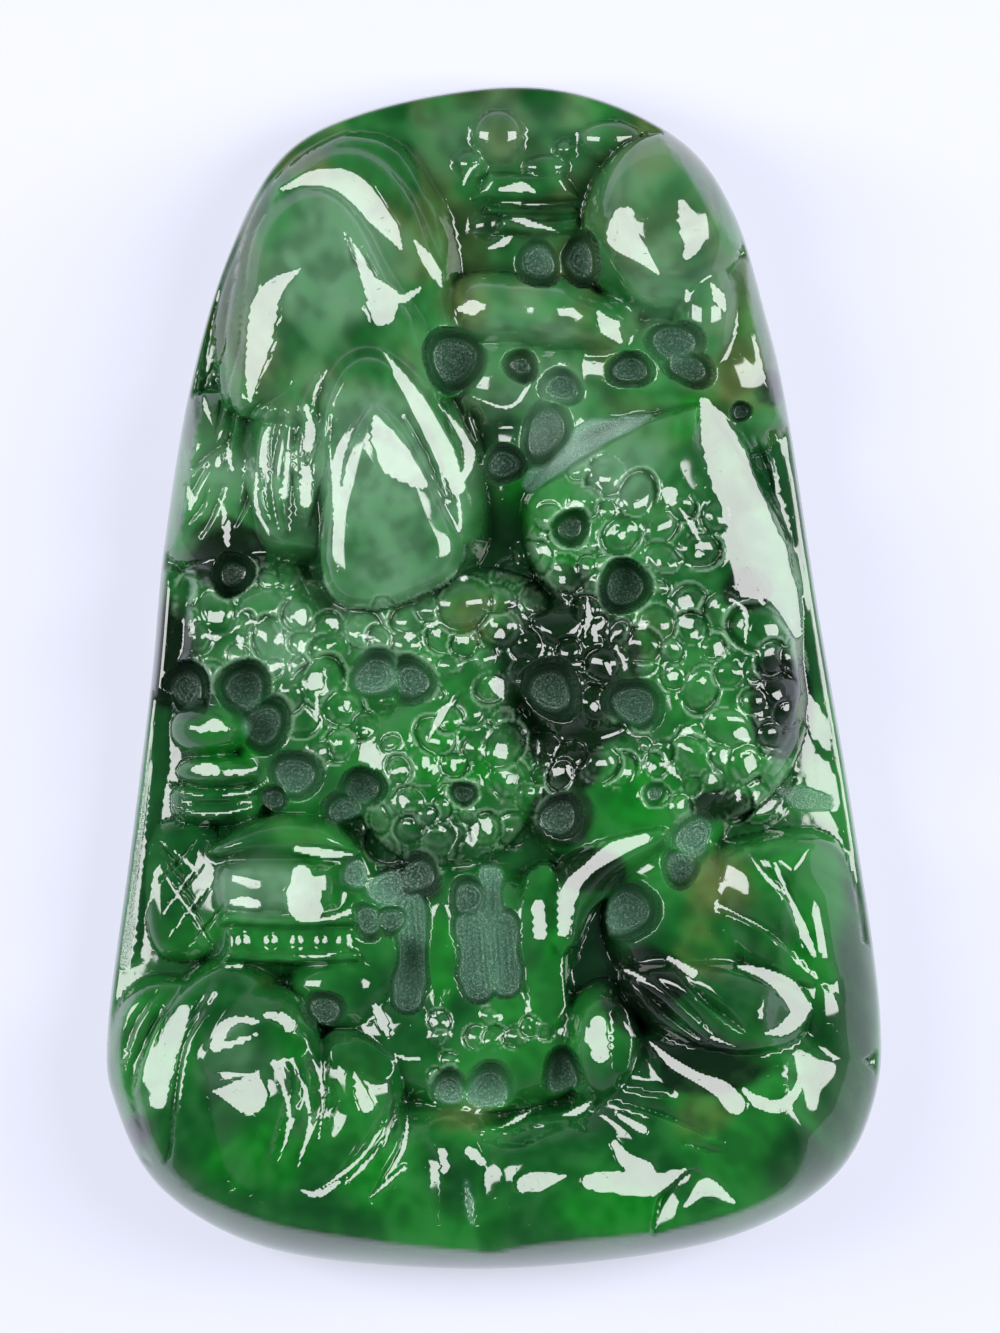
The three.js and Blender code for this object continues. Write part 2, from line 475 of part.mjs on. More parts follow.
// The side turns under in rings to the flat back.
const points = grid.slice();
const turns = 4;
let ring = edge;
for (let step = 1; step <= turns; step += 1) {
  const angle = step / turns * Math.PI / 2;
  const inset = backRounding * (1 - Math.cos(angle));
  const level = thicknessAtEdge * (1 - Math.sin(angle));
  const next = edge.map((index, place) => {
    const before = grid[edge[(place + edge.length - 1) % edge.length]];
    const after = grid[edge[(place + 1) % edge.length]];
    const along = new THREE.Vector2(after.x - before.x, after.y - before.y).normalize();
    const point = new THREE.Vector3(grid[index].x - along.y * inset, grid[index].y + along.x * inset, level);
    return points.push(point) - 1;
  });
  ring.forEach((index, place) => {
    const other = (place + 1) % ring.length;
    faces.push([index, next[place], ring[other]]);
    faces.push([ring[other], next[place], next[other]]);
  });
  ring = next;
}
const centre = points.push(new THREE.Vector3(0, 0, 0)) - 1;
ring.forEach((index, place) => {
  faces.push([index, centre, ring[(place + 1) % ring.length]]);
});

// One closed mesh with only the points it uses.
const order = new Map();
const corners = [];
const indices = faces.flat().map((index) => {
  if (!order.has(index)) {
    order.set(index, order.size);
    corners.push(points[index].x, points[index].y, points[index].z);
  }
  return order.get(index);
});
const geometry = new THREE.BufferGeometry();
geometry.setAttribute('position', new THREE.Float32BufferAttribute(corners, 3));
geometry.setIndex(indices);
geometry.computeVertexNormals();

const jade = new THREE.MeshStandardMaterial({ color: 0x24702f, roughness: 0.12, metalness: 0 });
const pendant = new THREE.Mesh(geometry, jade);
pendant.name = 'jade_pendant';

const group = new THREE.Group();
group.name = 'jadeite_landscape_pendant';
group.add(pendant);
export default group;
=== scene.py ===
import math

import bmesh
import bpy
import numpy as np
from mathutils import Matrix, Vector
from mathutils.geometry import delaunay_2d_cdt


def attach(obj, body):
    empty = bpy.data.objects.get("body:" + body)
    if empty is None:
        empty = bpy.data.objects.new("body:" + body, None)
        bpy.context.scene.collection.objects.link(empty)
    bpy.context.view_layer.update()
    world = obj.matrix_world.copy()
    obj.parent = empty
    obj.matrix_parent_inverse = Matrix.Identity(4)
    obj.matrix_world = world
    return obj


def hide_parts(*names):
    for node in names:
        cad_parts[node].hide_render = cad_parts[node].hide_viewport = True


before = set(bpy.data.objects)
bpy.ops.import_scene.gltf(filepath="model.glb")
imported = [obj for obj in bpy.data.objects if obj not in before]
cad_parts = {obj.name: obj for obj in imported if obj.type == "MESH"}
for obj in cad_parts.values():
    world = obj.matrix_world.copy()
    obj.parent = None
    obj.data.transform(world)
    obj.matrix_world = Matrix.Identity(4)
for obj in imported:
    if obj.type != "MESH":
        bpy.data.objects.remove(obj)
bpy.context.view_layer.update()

mm = 0.001  # the script is written in millimetres, the scene is in metres


def linear(hexColour):
    parts = [int(hexColour[i:i + 2], 16) / 255 for i in (1, 3, 5)]
    return tuple(c / 12.92 if c <= 0.04045 else ((c + 0.055) / 1.055) ** 2.4 for c in parts) + (1.0,)


# The blank: a slab of stone with a pebble's edge on a flat back, top of the landscape toward +Y.
blank = dict(edgeZ=2.6, slabZ=4.4, groundRise=1.8, groundTop=14, groundRun=10, ledgeRise=0.42,
             ledgeReach=0.9, ledgeSlope=0.1, crownRise=10.0, crownReach=6.0, crownPower=2.4,
             crownRound=0.625, crownBlend=0.25, crownOver=0.35, backRound=1.5, cell=0.05, margin=0.5,
             outline=[
                 (0.3, 29.5), (5.2, 28.9), (9.6, 26.6), (12.0, 23.2), (13.5, 18.4), (14.65, 13.4),
                 (16.2, 3.4), (17.9, -6.6), (19.3, -16.6), (18.9, -21.6), (16.6, -25.4), (11.5, -28.1),
                 (3.4, -29.4), (-4.0, -29.5), (-11.5, -28.5), (-16.6, -25.6), (-18.9, -21.4), (-19.3, -17.6),
                 (-18.15, -8.6), (-17.1, 0.0), (-16.5, 6.4), (-15.2, 14.4), (-13.3, 21.0), (-10.6, 26.0),
                 (-6.3, 28.3),
             ])


def spline(p0, p1, p2, p3, t):
    return 0.5 * (2 * p1 + (p2 - p0) * t + (2 * p0 - 5 * p1 + 4 * p2 - p3) * t * t
                  + (3 * p1 - p0 - 3 * p2 + p3) * t ** 3)


def closedCurve(corners, steps):
    n = len(corners)
    c = np.array(corners, float)
    return np.array([spline(c[i - 1], c[i], c[(i + 1) % n], c[(i + 2) % n], s / steps)
                     for i in range(n) for s in range(steps)])


def openCurve(corners, steps=8):
    c = [np.array(p, float) for p in corners]
    c = [2 * c[0] - c[1]] + c + [2 * c[-1] - c[-2]]
    path = [spline(*c[i - 1:i + 3], s / steps) for i in range(1, len(c) - 2) for s in range(steps)]
    return np.array(path + [c[-2]])


def evenCurve(points, pitch):
    loop = np.vstack([points, points[:1]])
    run = np.concatenate([[0], np.cumsum(np.hypot(*np.diff(loop, axis=0).T))])
    at = np.linspace(0, run[-1], int(run[-1] / pitch), endpoint=False)
    return np.column_stack([np.interp(at, run, loop[:, k]) for k in (0, 1)])


outline = closedCurve(blank["outline"], 16)
middle = (outline.min(0) + outline.max(0)) / 2
cell = blank["cell"]
lowX, lowY = outline.min(0) - blank["margin"]
highX, highY = outline.max(0) + blank["margin"]
axisX = np.arange(lowX, highX, cell)
axisY = np.arange(lowY, highY, cell)
gridX, gridY = np.meshgrid(axisX, axisY)


def softMax(a, b, width):
    share = np.clip(0.5 + 0.5 * (b - a) / width, 0, 1)
    return a + (b - a) * share + width * share * (1 - share)


def smooth(a, b, v):
    t = np.clip((v - a) / (b - a), 0, 1)
    return t * t * (3 - 2 * t)


def scatter(i, k):
    v = math.sin(i * 12.9898 + k * 78.233) * 43758.5453
    return v - math.floor(v)


def sample(field, x, y):
    u = np.clip((x - axisX[0]) / cell, 0, len(axisX) - 1.001)
    v = np.clip((y - axisY[0]) / cell, 0, len(axisY) - 1.001)
    i, j = u.astype(int), v.astype(int)
    u, v = u - i, v - j
    return ((field[j, i] * (1 - u) + field[j, i + 1] * u) * (1 - v)
            + (field[j + 1, i] * (1 - u) + field[j + 1, i + 1] * u) * v)


def blurred(field, passes):
    for n in range(passes):
        for axis in (0, 1):
            field = (field + np.roll(field, 1, axis) + np.roll(field, -1, axis)) / 3
    return field


def inwardFrom(line, x, y):
    # distance in from a closed line, negative outside it
    best = np.full(x.shape, 1e9)
    inside = np.zeros(x.shape, bool)
    for a, b in zip(line, np.roll(line, -1, 0)):
        d = b - a
        t = np.clip(((x - a[0]) * d[0] + (y - a[1]) * d[1]) / (d @ d), 0, 1)
        best = np.minimum(best, np.hypot(x - a[0] - t * d[0], y - a[1] - t * d[1]))
        if d[1]:
            inside ^= ((a[1] > y) != (b[1] > y)) & (x < d[0] * (y - a[1]) / d[1] + a[0])
    return np.where(inside, best, -best)


def inwardMap(line, x, y):
    # the same on the height map, worked out at every fourth point and filled in between
    cx, cy = np.append(x[:-1:4], x[-1]), np.append(y[:-1:4], y[-1])
    rows = np.array([np.interp(x, cx, row) for row in inwardFrom(line, *np.meshgrid(cx, cy))])
    return np.array([np.interp(y, cy, column) for column in rows.T]).T


inward = inwardMap(outline[::2], axisX, axisY)
depth = np.clip(inward, 0, None)
ledge = (blank["slabZ"] + blank["ledgeRise"] * (1 - np.exp(-depth / blank["ledgeReach"]))
         + blank["ledgeSlope"] * depth)
climb = smooth(0, blank["groundRun"], blank["groundTop"] - gridY)
height = np.minimum(blank["slabZ"] + blank["groundRise"] * climb, ledge)


def handWaves(pitch, seed):
    # smooth unevenness with about this wavelength, from -1 to 1
    count = (int((highY - lowY) / pitch) + 6, int((highX - lowX) / pitch) + 6)
    knots = np.random.default_rng(seed).uniform(-1, 1, count)
    wide = int(round(pitch / cell))
    field = np.repeat(np.repeat(knots, wide, 0), wide, 1)
    for axis in (0, 1):
        for n in range(3):
            total = np.cumsum(field, axis=axis)
            field = (np.roll(total, -(wide // 2), axis) - np.roll(total, wide - wide // 2, axis)) / wide
    return field[2 * wide:2 * wide + len(axisY), 2 * wide:2 * wide + len(axisX)]


ragged = handWaves(1.1, 21)
# strips rubbed to one plane: where they lie, and their fall toward +X and +Y
shine, shineX, shineY = (np.zeros(height.shape) for n in range(3))
matt = np.zeros(height.shape)  # 0 polished, 1 left rough from the drill
turnMark = np.zeros(height.shape)  # how far a rough point is from the drill's axis
heads = np.zeros(height.shape)  # 1 where a tree head is drilled


def window(low, high):
    i0, i1 = np.searchsorted(axisX, (low[0], high[0]))
    j0, j1 = np.searchsorted(axisY, (low[1], high[1]))
    return np.s_[j0:j1, i0:i1]


def around(x, y, reach):
    return window((x - reach, y - reach), (x + reach, y + reach))


def turned(w, x, y, turn):
    c, s = math.cos(math.radians(turn)), math.sin(math.radians(turn))
    dx, dy = gridX[w] - x, gridY[w] - y
    return dx * c + dy * s, dy * c - dx * s


def addMass(x, y, half, up, down, foot, top, plan=2.0, flat=2.0, turn=0, blend=0.4):
    w = around(x, y, max(half, up, down) * 1.35)
    dx, dy = turned(w, x, y, turn)
    r = ((np.abs(dx) / half) ** plan + (np.abs(dy) / np.where(dy > 0, up, down)) ** plan) ** (1 / plan)
    z = np.where(r < 1, foot + (top - foot) * np.sqrt(np.clip(1 - r ** flat, 0, 1)), 0)
    height[w] = softMax(height[w], z, blend)


def addShell(corners, foot, wall, roll, reach, spread=0.7, lean=0.0, blend=0.3):
    # a hill inside a closed curve: a wall, then a shoulder that rolls over to a top leaning up toward -Y
    line = closedCurve(corners, 6)
    w = window(line.min(0), line.max(0))
    d = blurred(inwardMap(line, gridX[w][0], gridY[w][:, 0]), 3)
    t = np.clip(d / reach, 0, 1)
    z = foot + lean * (line[:, 1].max() - gridY[w]) + wall * smooth(-0.1, spread, d)
    z = z + roll * np.sqrt(1 - (1 - t) ** 2)
    height[w] = np.where(d > 0, softMax(height[w], z, blend), height[w])


def roughCut(w, z, inside, rough, fromAxis):
    # the drill's roughness reaches a little over the rim
    cut = np.clip((height[w] - z + 0.15) / 0.5, 0, 1) * inside
    height[w] = np.where(inside > 0, -softMax(-height[w], -z, 0.3), height[w])
    matt[w] = np.maximum(matt[w] * (1 - cut), cut * rough)
    shine[w] *= 1 - cut
    turnMark[w] = np.where(cut > 0, fromAxis, turnMark[w])


def cutPit(x, y, half, tall, floor, turn=0, rough=1.0):
    w = around(x, y, max(half, tall) * 1.2)
    dx, dy = turned(w, x, y, turn)
    angle = np.arctan2(dy, dx)
    lump = 1.08 + 0.07 * np.sin(2 * angle + 9 * x) + 0.06 * np.sin(3 * angle + 7 * y)
    r = np.hypot(dx / half, dy / tall) * lump
    z = floor + min(half, tall) * (1 - np.sqrt(np.clip(1 - r * r, 0, 1))) + 3 * np.clip(r - 1, 0, 1)
    roughCut(w, z, 1 - smooth(1.0, 1.15, r), rough * (1 - 0.8 * smooth(0.3, 0.95, r)), r * min(half, tall))


def nearPath(corners, reach):
    # for each point near a curve: its distance, its share along, its hand, and the nearest point
    path = openCurve(corners)
    w = window(path.min(0) - reach, path.max(0) + reach)
    x, y = gridX[w], gridY[w]
    gap = np.full(x.shape, 1e9)
    along, hand, nearX, nearY = (np.zeros(x.shape) for n in range(4))
    n = len(path) - 1
    for k in range(n):
        a, d = path[k], path[k + 1] - path[k]
        t = np.clip(((x - a[0]) * d[0] + (y - a[1]) * d[1]) / (d @ d + 1e-12), 0, 1)
        cx, cy = a[0] + t * d[0], a[1] + t * d[1]
        g = np.hypot(x - cx, y - cy)
        near = g < gap
        gap[near], nearX[near], nearY[near] = g[near], cx[near], cy[near]
        along[near] = ((k + t) / n)[near]
        hand[near] = np.sign(d[0] * (y - cy) - d[1] * (x - cx))[near]
    return w, gap, along, hand, nearX, nearY


def fromEnds(along):
    return np.clip(np.minimum(along, 1 - along) * 2, 0, 1)


def addRidge(corners, half, foot, top, blend=0.12):
    w, gap, along, *others = nearPath(corners, half)
    wide = half * (0.3 + 0.7 * fromEnds(along) ** 0.35)
    z = np.where(gap < wide, foot + (top - foot) * np.sqrt(np.clip(1 - (gap / wide) ** 2, 0, 1)), 0)
    height[w] = softMax(height[w], z, blend)


def addPetal(corners, half, rise):
    # a rounded leaf laid along a curve on what is already carved
    w, gap, along, *others = nearPath(corners, half)
    ends = fromEnds(along)
    wide = half * (0.2 + 0.8 * ends ** 0.6)
    height[w] += rise * ends ** 0.4 * np.sqrt(np.clip(1 - (gap / wide) ** 2, 0, 1))


def addFacet(corners, halves, slopeX, slopeY, rough=0.0):
    # a strip rubbed flat along a curve, with its half widths along the way and its fall toward +X and +Y
    w, gap, along, hand, nearX, nearY = nearPath(corners, max(halves) * 1.6)
    wide = np.interp(along, np.linspace(0, 1, len(halves)), halves) * (1.1 + 0.3 * ragged[w])
    share = 1 - smooth(0.7, 1.4, gap / wide)
    z = sample(height, nearX, nearY) - slopeX * (gridX[w] - nearX) - slopeY * (gridY[w] - nearY)
    height[w] += 0.5 * share * (z - height[w])
    matt[w] = np.maximum(matt[w] * (1 - share), share * rough)
    crisp = 1 - smooth(0.9, 1.02, gap / wide)
    shine[w] = np.maximum(shine[w], crisp)
    shineX[w] = np.where(crisp > 0, slopeX, shineX[w])
    shineY[w] = np.where(crisp > 0, slopeY, shineY[w])


def cutFold(corners, reach, drop):
    # a step down on the left hand of a curve that runs out over its reach
    w, gap, along, hand, *others = nearPath(corners, reach)
    run = np.clip(1 - gap / reach, 0, 1) ** 1.5
    lip = np.clip(1 - gap / 0.25, 0, 1) ** 2
    height[w] -= drop * np.sqrt(fromEnds(along)) * np.where(hand > 0, run, lip)


def cutGroove(corners, half, drop):
    w, gap, along, *others = nearPath(corners, half)
    ends = fromEnds(along)
    height[w] -= drop * np.sqrt(ends) * np.clip(1 - gap / (half * (0.35 + 0.65 * ends)), 0, 1)


def cutChannel(corners, half, floor):
    w, gap, along, *others = nearPath(corners, half * 1.3)
    r = gap / half * (1 + 0.12 * np.sin(9 * along + 5 * half))
    z = floor + half * 0.8 * (1 - np.sqrt(np.clip(1 - r * r, 0, 1)))
    roughCut(w, z, 1 - smooth(0.9, 1.15, r), 1 - 0.6 * smooth(0.4, 1.0, r), gap)


def addPlate(x, top, low, halfTop, halfLow, zTop, zLow, lift=0.0, bevel=0.25, raised=False):
    # a flat course of a building, its edges eased, set in or only raised above what is there
    half = max(halfTop, halfLow)
    w = window((x - half, low - abs(lift)), (x + half, top + abs(lift)))
    dx = gridX[w] - x
    y = gridY[w] - lift * (dx / half) ** 2
    t = np.clip((top - y) / (top - low), 0, 1)
    edge = np.minimum(np.minimum(halfTop + (halfLow - halfTop) * t - np.abs(dx), top - y), y - low)
    z = zTop + (zLow - zTop) * t - bevel * np.clip(1 - edge / bevel, 0, 1) ** 2
    height[w] = np.where(edge > 0, np.maximum(height[w], z) if raised else z, height[w])


# A tree head, in shares of its radius: its swell, lean and squash, then where its ring groove, second turn
# and outer lip run and how wide they are. Depths, waves and the radius of the small ones are millimetres.
treeHead = dict(swell=0.26, swellTo=0.86, lean=0.7, squash=0.36, level=0.3, ring=0.9, ringHalf=0.2,
                ringDepth=(0.02, 0.1), second=0.52, secondHalf=0.15, secondDepth=0.09, secondFrom=0.45,
                lip=1.1, lipHalf=0.12, lipRise=(0.03, 0.06), smallest=0.42, spread=0.28, crowding=0.72,
                wavePitch=0.55, waveHeight=0.035)


def addBubble(mound, k, x, y, radius):
    # what a tube drill leaves: a ring groove with a head inside it, never quite round nor level
    w = around(x, y, radius * 1.4)
    dx, dy = turned(w, x, y, 180 * scatter(k, 2))
    squash = 1 + treeHead["squash"] * (scatter(k, 3) - 0.5)
    q = np.hypot(dx * squash, dy / squash) / radius
    lean = (dx * (scatter(k, 4) - 0.5) + dy * (scatter(k, 5) - 0.5)) * treeHead["lean"]
    base = mound[w] + treeHead["level"] * (scatter(k, 1) - 0.5) + lean
    head = treeHead["swell"] * radius * np.clip(1 - (q / treeHead["swellTo"]) ** 2, 0, 1) ** 0.8
    uneven = 0.6 + 0.4 * np.sin(2 * np.arctan2(dy, dx) + 6 * scatter(k, 6))
    least, more = treeHead["ringDepth"]
    groove = (least + more * uneven) * np.clip(1 - np.abs(q - treeHead["ring"]) / treeHead["ringHalf"], 0, 1)
    second = treeHead["secondDepth"] * (scatter(k, 7) > treeHead["secondFrom"])  # not on every head
    groove += second * uneven * np.clip(1 - np.abs(q - treeHead["second"]) / treeHead["secondHalf"], 0, 1)
    least, more = treeHead["lipRise"]
    lip = (least + more * uneven) * np.clip(1 - np.abs(q - treeHead["lip"]) / treeHead["lipHalf"], 0, 1)
    height[w] = np.where(q < 1.22, np.where(q < 1.0, base, height[w]) + head - groove + lip, height[w])
    matt[w] = np.where(q < 1.0, 0.0, matt[w])
    heads[w] = np.where(q < 1.2, 1.0, heads[w])


# Rounded hills that lie under the sharper carving:
# x, y, half width, reach up, reach down, foot, top, plan, flatness, turn
underHills = [
    (-13.0, 9.6, 4.2, 5.0, 5.4, 4.6, 8.0, 2, 2.6, 0),
    (5.0, 14.0, 8.5, 5.0, 6.0, 4.4, 6.4, 2, 4, -20),
    (9.0, 14.8, 4.8, 3.2, 3.0, 4.6, 7.4, 2, 3, -12),
    (12.4, 16.0, 2.6, 5.0, 5.0, 4.4, 7.2, 2, 2.6, 8),
    (0.9, 14.6, 3.2, 2.4, 2.2, 4.6, 6.9, 2, 2.6, 0),
    (2.0, 10.2, 3.2, 4.0, 4.0, 4.6, 6.6, 2, 3, -20),
    (-11.8, 1.4, 5.8, 4.9, 4.6, 5.4, 9.0, 2, 3, 0),
    (-2.3, 2.0, 6.8, 3.6, 4.0, 5.6, 9.4, 2, 3.5, 0),
    (4.55, 0.6, 3.8, 4.0, 4.4, 5.6, 9.6, 2, 3, 0),
    (10.9, -0.6, 4.9, 6.4, 6.6, 5.6, 9.8, 2, 3.2, 0),
    (-2.4, -4.6, 4.8, 5.2, 5.0, 5.6, 9.8, 2, 3.2, 0),
    (-8.6, -3.6, 4.4, 4.4, 3.8, 5.6, 8.6, 2, 3, 0),
    (6.4, -5.6, 5.6, 3.4, 4.6, 5.6, 9.0, 2, 3.2, -20),
    (-2.0, -12.8, 6.4, 3.8, 4.4, 5.0, 8.3, 2, 4, 0),
    (-10.4, -11.4, 4.6, 4.6, 3.6, 5.0, 7.6, 3, 4, 0),
    (-0.8, -17.8, 7.0, 2.9, 4.0, 5.4, 8.2, 2, 3.5, 0),
    (9.8, -11.8, 4.4, 3.8, 4.6, 5.6, 9.0, 2, 3, -20),
    (11.6, -21.6, 7.8, 5.6, 5.4, 5.0, 9.5, 2, 3, 0),
    (10.2, -25.3, 6.4, 3.2, 7.0, 4.2, 8.6, 2, 3, 0),
    (4.0, -25.0, 6.0, 3.8, 7.5, 4.2, 8.9, 2, 3.5, 0),
    (-2.7, -24.9, 4.6, 4.0, 7.5, 4.2, 8.6, 2, 2.8, 0),
    (-8.6, -25.0, 9.0, 5.0, 7.5, 3.6, 9.2, 2, 3, 0),
]
for hill in underHills:
    addMass(*hill, blend=1.2)

# The peaks: nested shells, each a closed curve with its foot, wall, roll and the roll's reach.
peaks = [
    # the range at the upper left, from the back to the front
    ([(-12.9, 21.4), (-11.95, 23.9), (-10.2, 26.0), (-8.7, 27.0), (-7.45, 27.5), (-5.7, 27.4), (-4.45, 26.8),
      (-3.65, 25.9), (-2.85, 24.5), (-2.1, 23.0), (-1.6, 18.9), (-2.7, 12.9), (-12.2, 12.9), (-13.95, 16.9)],
     3.4, 1.4, 0.8, 1.3, 0.9, 0.12),
    ([(-13.3, 17.4), (-12.9, 19.9), (-12.55, 21.6), (-11.8, 23.5), (-10.85, 24.9), (-9.6, 25.9),
      (-8.2, 26.6), (-6.9, 26.7), (-5.6, 26.2), (-4.6, 25.3), (-3.6, 23.9), (-2.7, 21.6), (-1.95, 18.9),
      (-1.95, 13.9), (-12.7, 12.9)], 4.8, 0.6, 0.9, 1.3, 0.8, 0.15),
    ([(-12.45, 12.9), (-12.55, 16.9), (-12.35, 19.4), (-12.05, 21.5), (-11.4, 23.0), (-10.2, 24.1),
      (-8.9, 24.5), (-7.6, 24.1), (-6.4, 22.8), (-5.4, 20.9), (-4.6, 19.3), (-3.4, 17.4), (-3.2, 12.9)],
     6.3, 0.5, 0.6, 1.2, 0.8, 0.18),
    # the shoulder of leaves beside the front peak
    ([(-12.2, 13.1), (-10.9, 13.7), (-9.7, 14.4), (-8.2, 13.9), (-7.7, 10.4), (-7.9, 5.9), (-10.2, 5.6),
      (-11.6, 6.3), (-12.4, 7.9), (-12.6, 10.9)], 6.4, 1.2, 1.2, 1.6, 1.2),
    # the front peak and its egg-shaped face
    ([(-9.7, 12.4), (-9.3, 14.4), (-8.3, 16.2), (-6.7, 17.1), (-4.9, 16.8), (-3.2, 15.5), (-1.8, 13.3),
      (-0.8, 10.9), (-0.2, 8.4), (-0.35, 6.4), (-1.45, 4.9), (-3.2, 3.7), (-5.2, 2.9), (-7.4, 2.9),
      (-8.9, 4.2), (-9.3, 7.9)], 6.2, 3.0, 1.1, 2.6, 1.5, 0.0, 0.9),
    ([(-6.1, 13.9), (-4.95, 13.3), (-3.7, 11.6), (-2.45, 8.9), (-1.5, 6.6), (-2.0, 4.9), (-3.7, 4.0),
      (-5.45, 3.4), (-7.4, 3.5), (-8.5, 4.8), (-8.6, 7.4), (-8.15, 9.9), (-7.3, 12.4)], 9.6, 0.5, 1.0, 1.8),
    # the right slope with the grove on it
    ([(1.3, 8.9), (3.3, 11.3), (5.8, 12.6), (8.55, 13.6), (10.4, 13.9), (11.7, 12.0), (13.05, 9.6),
      (14.2, 7.9), (14.9, 5.4), (15.45, 1.9), (15.7, -1.1), (14.3, -4.6), (10.3, -6.1), (7.3, -2.1),
      (3.3, 2.9), (1.55, 5.9)], 5.2, 2.0, 2.6, 4.0),
]
for peak in peaks:
    addShell(*peak)
addMass(8.4, 22.3, 4.0, 4.8, 4.8, 5.0, 9.0, 2, 2.1)  # the round peak at the upper right
addMass(10.6, 18.2, 1.7, 2.6, 3.6, 5.6, 8.2, 2, 2.1)  # and the knob below it
# the cloud-shaped boulder, in three lumps
addMass(0.2, 18.4, 2.7, 1.8, 1.9, 5.0, 8.0, 2.4, 2.2, -6, 0.8)
addMass(2.6, 18.2, 3.0, 1.9, 2.0, 5.0, 8.3, 2.4, 2.2, -8, 0.8)
addMass(5.2, 17.5, 2.2, 1.7, 1.5, 5.0, 7.9, 2.4, 2.2, -10, 0.8)
addMass(7.3, 18.9, 0.75, 0.75, 0.75, 5.0, 6.4)
addMass(5.8, 26.9, 1.6, 0.9, 1.4, 4.2, 5.3)

# Rocks of the lower third, from the back to the front.
rocks = [
    # the block at the right edge
    ([(11.0, -8.6), (13.0, -7.8), (15.6, -7.5), (17.2, -8.3), (18.0, -10.6), (18.4, -13.4), (17.4, -15.4),
      (14.6, -15.6), (11.9, -14.2), (10.6, -11.4)], 5.6, 1.8, 2.2, 3.0),
    # the bulge in front of it
    ([(6.3, -14.6), (9.0, -13.9), (12.0, -14.1), (14.6, -15.2), (15.7, -16.8), (15.0, -18.4), (12.6, -19.2),
      (9.6, -18.6), (7.0, -16.8)], 7.4, 0.8, 2.2, 2.4),
    # the scalloped skirt below
    ([(7.4, -17.9), (9.8, -19.4), (11.6, -19.2), (14.0, -19.0), (15.6, -19.2), (16.6, -21.4), (15.4, -23.8),
      (12.4, -24.4), (9.0, -22.8), (7.2, -20.4)], 6.4, 1.0, 2.1, 2.6),
    # the shells of the lower left boulder
    ([(-19.2, -18.4), (-18.6, -16.0), (-17.2, -14.8), (-15.4, -14.6), (-13.4, -14.0), (-11.6, -15.0),
      (-10.4, -20.0), (-12.6, -26.6), (-17.0, -24.6), (-18.8, -21.6)], 4.2, 1.6, 1.8, 2.4),
    ([(-18.2, -21.0), (-17.8, -18.4), (-16.6, -16.2), (-14.7, -14.4), (-13.0, -13.8), (-10.6, -15.4),
      (-9.6, -20.0), (-12.0, -26.0), (-16.4, -25.2)], 5.8, 0.9, 2.2, 2.6),
    ([(-14.6, -20.0), (-14.2, -17.6), (-13.0, -15.8), (-11.2, -15.2), (-9.4, -16.2), (-8.4, -18.6),
      (-8.4, -21.6), (-9.6, -24.4), (-11.8, -26.0), (-13.8, -24.2)], 7.2, 0.2, 2.8, 3.6, 0.7, 0.0, 0.7),
    ([(-8.7, -18.2), (-7.4, -17.5), (-5.9, -18.2), (-4.6, -20.0), (-4.8, -22.2), (-6.4, -23.6),
      (-8.2, -23.6), (-9.0, -21.2)], 7.2, 0.2, 1.7, 2.2, 0.7, 0.0, 0.8),
]
for rock in rocks:
    addShell(*rock)
addMass(17.2, -16.2, 2.6, 3.4, 3.4, 5.0, 8.6, 2, 3, 0, 0.8)
addMass(5.4, -18.3, 2.0, 3.3, 3.2, 6.6, 9.8, 2, 2.2)  # the knoll in the middle
addMass(-7.6, -15.4, 2.6, 1.6, 2.2, 6.0, 8.0, 2, 3, 0, 0.8)  # the ground below the house
addRidge([(8.4, -7.8), (5.4, -9.2), (3.8, -11.0), (3.4, -13.4)], 1.5, 7.0, 9.5)
addRidge([(2.6, -9.6), (2.4, -12.6), (2.6, -16.6)], 1.5, 6.6, 8.6, 0.5)
addRidge([(-2.6, -11.2), (-2.7, -14.0), (-2.9, -16.6)], 1.3, 6.6, 8.2, 0.5)  # the trunk
print("hills and rocks laid out")

